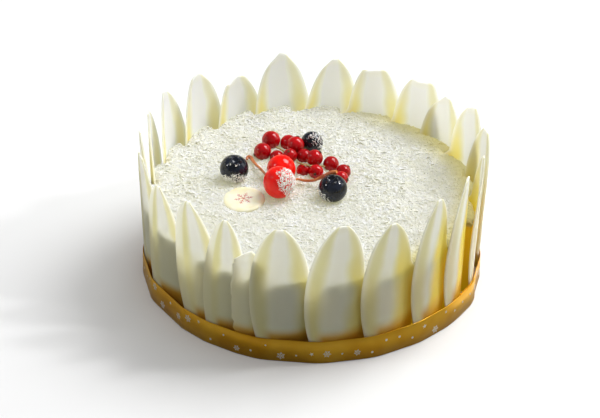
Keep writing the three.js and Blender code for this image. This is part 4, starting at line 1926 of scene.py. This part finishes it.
@dataclass
class FruitFlakes:
    """The fine flakes that cling to some of the fruit, each lot on the side that it is aimed at."""

    usual: Cover = Cover(0, 20, 0.0006, 0.0019, lift=0.00015, lowest=0.05, widest=1.0)

    def build(self, berries: Sequence[Piece], cherries: Sequence[Piece]) -> None:
        """Spreads flakes over parts of the fruit.

        Args:
            berries: the blueberries.
            cherries: the cherries, the front one first.
        """
        finish = FLAKE_FINISH.build()
        plans = (
            ("cherry_front", cherries[0], Cut.GRAIN, (0.72, -0.55, 0.42), 0.62, 2200000.0),
            ("blueberry_1", berries[0], Cut.GRAIN, (0.0, -0.72, -0.69), 0.62, 2000000.0),
            ("blueberry_2", berries[1], Cut.STRIP, (-0.7, -0.4, -0.6), 0.72, 1300000.0),
            ("blueberry_3", berries[2], Cut.STRIP, (0.55, -0.5, 0.67), 0.72, 1500000.0),
        )
        for number, (name, fruit, cut, aim, spread, density) in enumerate(plans):
            seed = self.usual.seed + number
            cover = replace(self.usual, density=density, seed=seed, spread=spread, aim=aim)
            Scatter(cut).spread("flakes_" + name, fruit, finish, cover)


# Studio


@dataclass(frozen=True)
class Viewpoint:
    """Where the camera stands, as distance in metres and angles in degrees."""

    distance: float = 2.409
    elevation: float = 33.97
    yaw: float = -0.211
    pitch: float = 0.832
    roll: float = 0.908
    lens: float = 240.0
    sensor: float = 36.0
    clip: Span = (0.1, 40.0)

    def build(self) -> None:
        """Makes the scene's camera."""
        data = bpy.data.cameras.new("camera")
        data.lens = self.lens
        data.sensor_width = self.sensor
        data.clip_start, data.clip_end = self.clip
        camera = new_object("camera", data)
        up_angle = math.radians(self.elevation)
        spot = Vector((0, -math.cos(up_angle), math.sin(up_angle))) * self.distance
        dip = math.radians(self.pitch - self.elevation)
        yaw = math.radians(self.yaw)
        roll = math.radians(self.roll)
        ahead = Vector((math.sin(yaw) * math.cos(dip), math.cos(yaw) * math.cos(dip), math.sin(dip)))
        level = ahead.cross(UP).normalized()
        upright = level.cross(ahead)
        right = level * math.cos(roll) + upright * math.sin(roll)
        up = upright * math.cos(roll) - level * math.sin(roll)
        turn = Matrix((right, up, -ahead)).transposed().to_4x4()
        camera.matrix_world = Matrix.Translation(spot) @ turn
        bpy.context.scene.camera = camera


@dataclass(frozen=True)
class Lamp:
    """A soft round light that faces the cake: its turn and height in degrees, metres and watts."""

    name: str
    turn: float
    height: float
    distance: float
    size: float
    power: float
    colour: Triple = (1.0, 1.0, 1.0)
    mirrored: bool = False
    aim: Triple = (0.0, 0.0, 0.05)

    def build(self) -> None:
        """Makes the light."""
        data = bpy.data.lights.new(self.name, "AREA")
        data.shape = "DISK"
        data.size = self.size
        data.energy = self.power
        data.color = self.colour
        lamp = new_object(self.name, data)
        lamp.visible_glossy = self.mirrored
        a, e = math.radians(self.turn), math.radians(self.height)
        way = Vector((math.sin(a) * math.cos(e), -math.cos(a) * math.cos(e), math.sin(e)))
        lamp.location = Vector(self.aim) + way * self.distance
        lamp.rotation_euler = way.to_track_quat("Z", "Y").to_euler()


@dataclass
class Studio:
    """The pale floor, the lights and the even light all round, in metres.

    What the gold band mirrors of the floor is brighter on its open side, at the far right, and a
    little brighter on the left.
    """

    around: float = 0.21
    bounce: Colour = (0.355, 0.345, 0.205, 1)
    mirror: Colour = (0.31, 0.31, 0.30, 1)
    bright_mirror: Colour = (1.0, 1.0, 0.97, 1)
    open_x: Span = (0.103, 0.110)
    open_y: Span = (-0.06, -0.045)
    left_x: Span = (-0.03, -0.10)
    left_share: float = 0.25
    glow: float = 0.07
    pale: Colour = (0.70, 0.70, 0.705, 1)
    rough: float = 0.9
    far: float = 6.0
    lamps: Tuple[Lamp, ...] = (
        Lamp("key", 126, 53, 1.8, 1.0, 24, (0.99, 1.0, 0.99), mirrored=True),
        Lamp("back", 152, 42, 2.2, 1.5, 12),
        Lamp("above", 150, 84, 2.2, 2.0, 18),
        Lamp("side", 104, 24, 2.0, 0.9, 3, mirrored=True),
        Lamp("glint", 96, 44, 1.6, 0.18, 7, mirrored=True),
        Lamp("fill", -82, 38, 2.2, 0.25, 4.8, mirrored=True),
    )

    def floor_material(self) -> Material:
        """The pale floor: white to look at, and a soft grey to what it lights.

        Returns:
            The material.
        """
        material = bpy.data.materials.new("pale_floor")
        material.use_nodes = True
        tree = material.node_tree
        tree.nodes.clear()
        looks = {
            "Base Color": self.pale,
            "Roughness": self.rough,
            "Emission Color": WHITE,
            "Emission Strength": self.glow,
        }
        seen = step(tree, "ShaderNodeBsdfPrincipled", looks)
        path = step(tree, "ShaderNodeLightPath")
        x, y, _ = places(tree)
        open_side = x.ramp(*self.open_x) * y.ramp(*self.open_y) + x.ramp(*self.left_x) * self.left_share
        mirror = mixed(tree, open_side, self.mirror, self.bright_mirror)
        shade = mixed(tree, path.outputs["Is Glossy Ray"], self.bounce, mirror)
        grey = step(tree, "ShaderNodeBsdfDiffuse", {"Color": shade})
        mix = step(tree, "ShaderNodeMixShader")
        sources = (path.outputs["Is Camera Ray"], grey.outputs[0], seen.outputs[0])
        for socket, source in zip(mix.inputs, sources):
            tree.links.new(source, socket)
        step(tree, "ShaderNodeOutputMaterial", {"Surface": mix.outputs[0]})
        return material

    def build(self) -> None:
        """Makes the floor, the world and the lights."""
        mesh = bpy.data.meshes.new("floor")
        corners = [(x * self.far, y * self.far, 0) for x, y in ((-1, -1), (1, -1), (1, 1), (-1, 1))]
        mesh.from_pydata(corners, [], [(0, 1, 2, 3)])
        dressed(mesh, self.floor_material())
        world = bpy.data.worlds.new("studio")
        world.use_nodes = True
        background = world.node_tree.nodes["Background"]
        background.inputs["Color"].default_value = WHITE
        background.inputs["Strength"].default_value = self.around
        bpy.context.scene.world = world
        for lamp in self.lamps:
            lamp.build()
        view = bpy.context.scene.view_settings
        view.view_transform = "Standard"
        view.look = "None"


def main() -> None:
    """Builds the cake piece by piece, then lights it."""
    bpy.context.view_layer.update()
    Viewpoint().build()
    body = CakeBody().build()
    PetalRing().build()
    GoldBand().build()
    berries = Blueberries().build()
    cherries = Cherries().build()
    Currants().build()
    Stems().build()
    ChocolateDisc().build()
    Topping().build(body)
    FruitFlakes().build(berries, cherries)
    Studio().build()


if __name__ == "__main__":
    logging.basicConfig(level=logging.INFO, format="%(message)s")
    main()
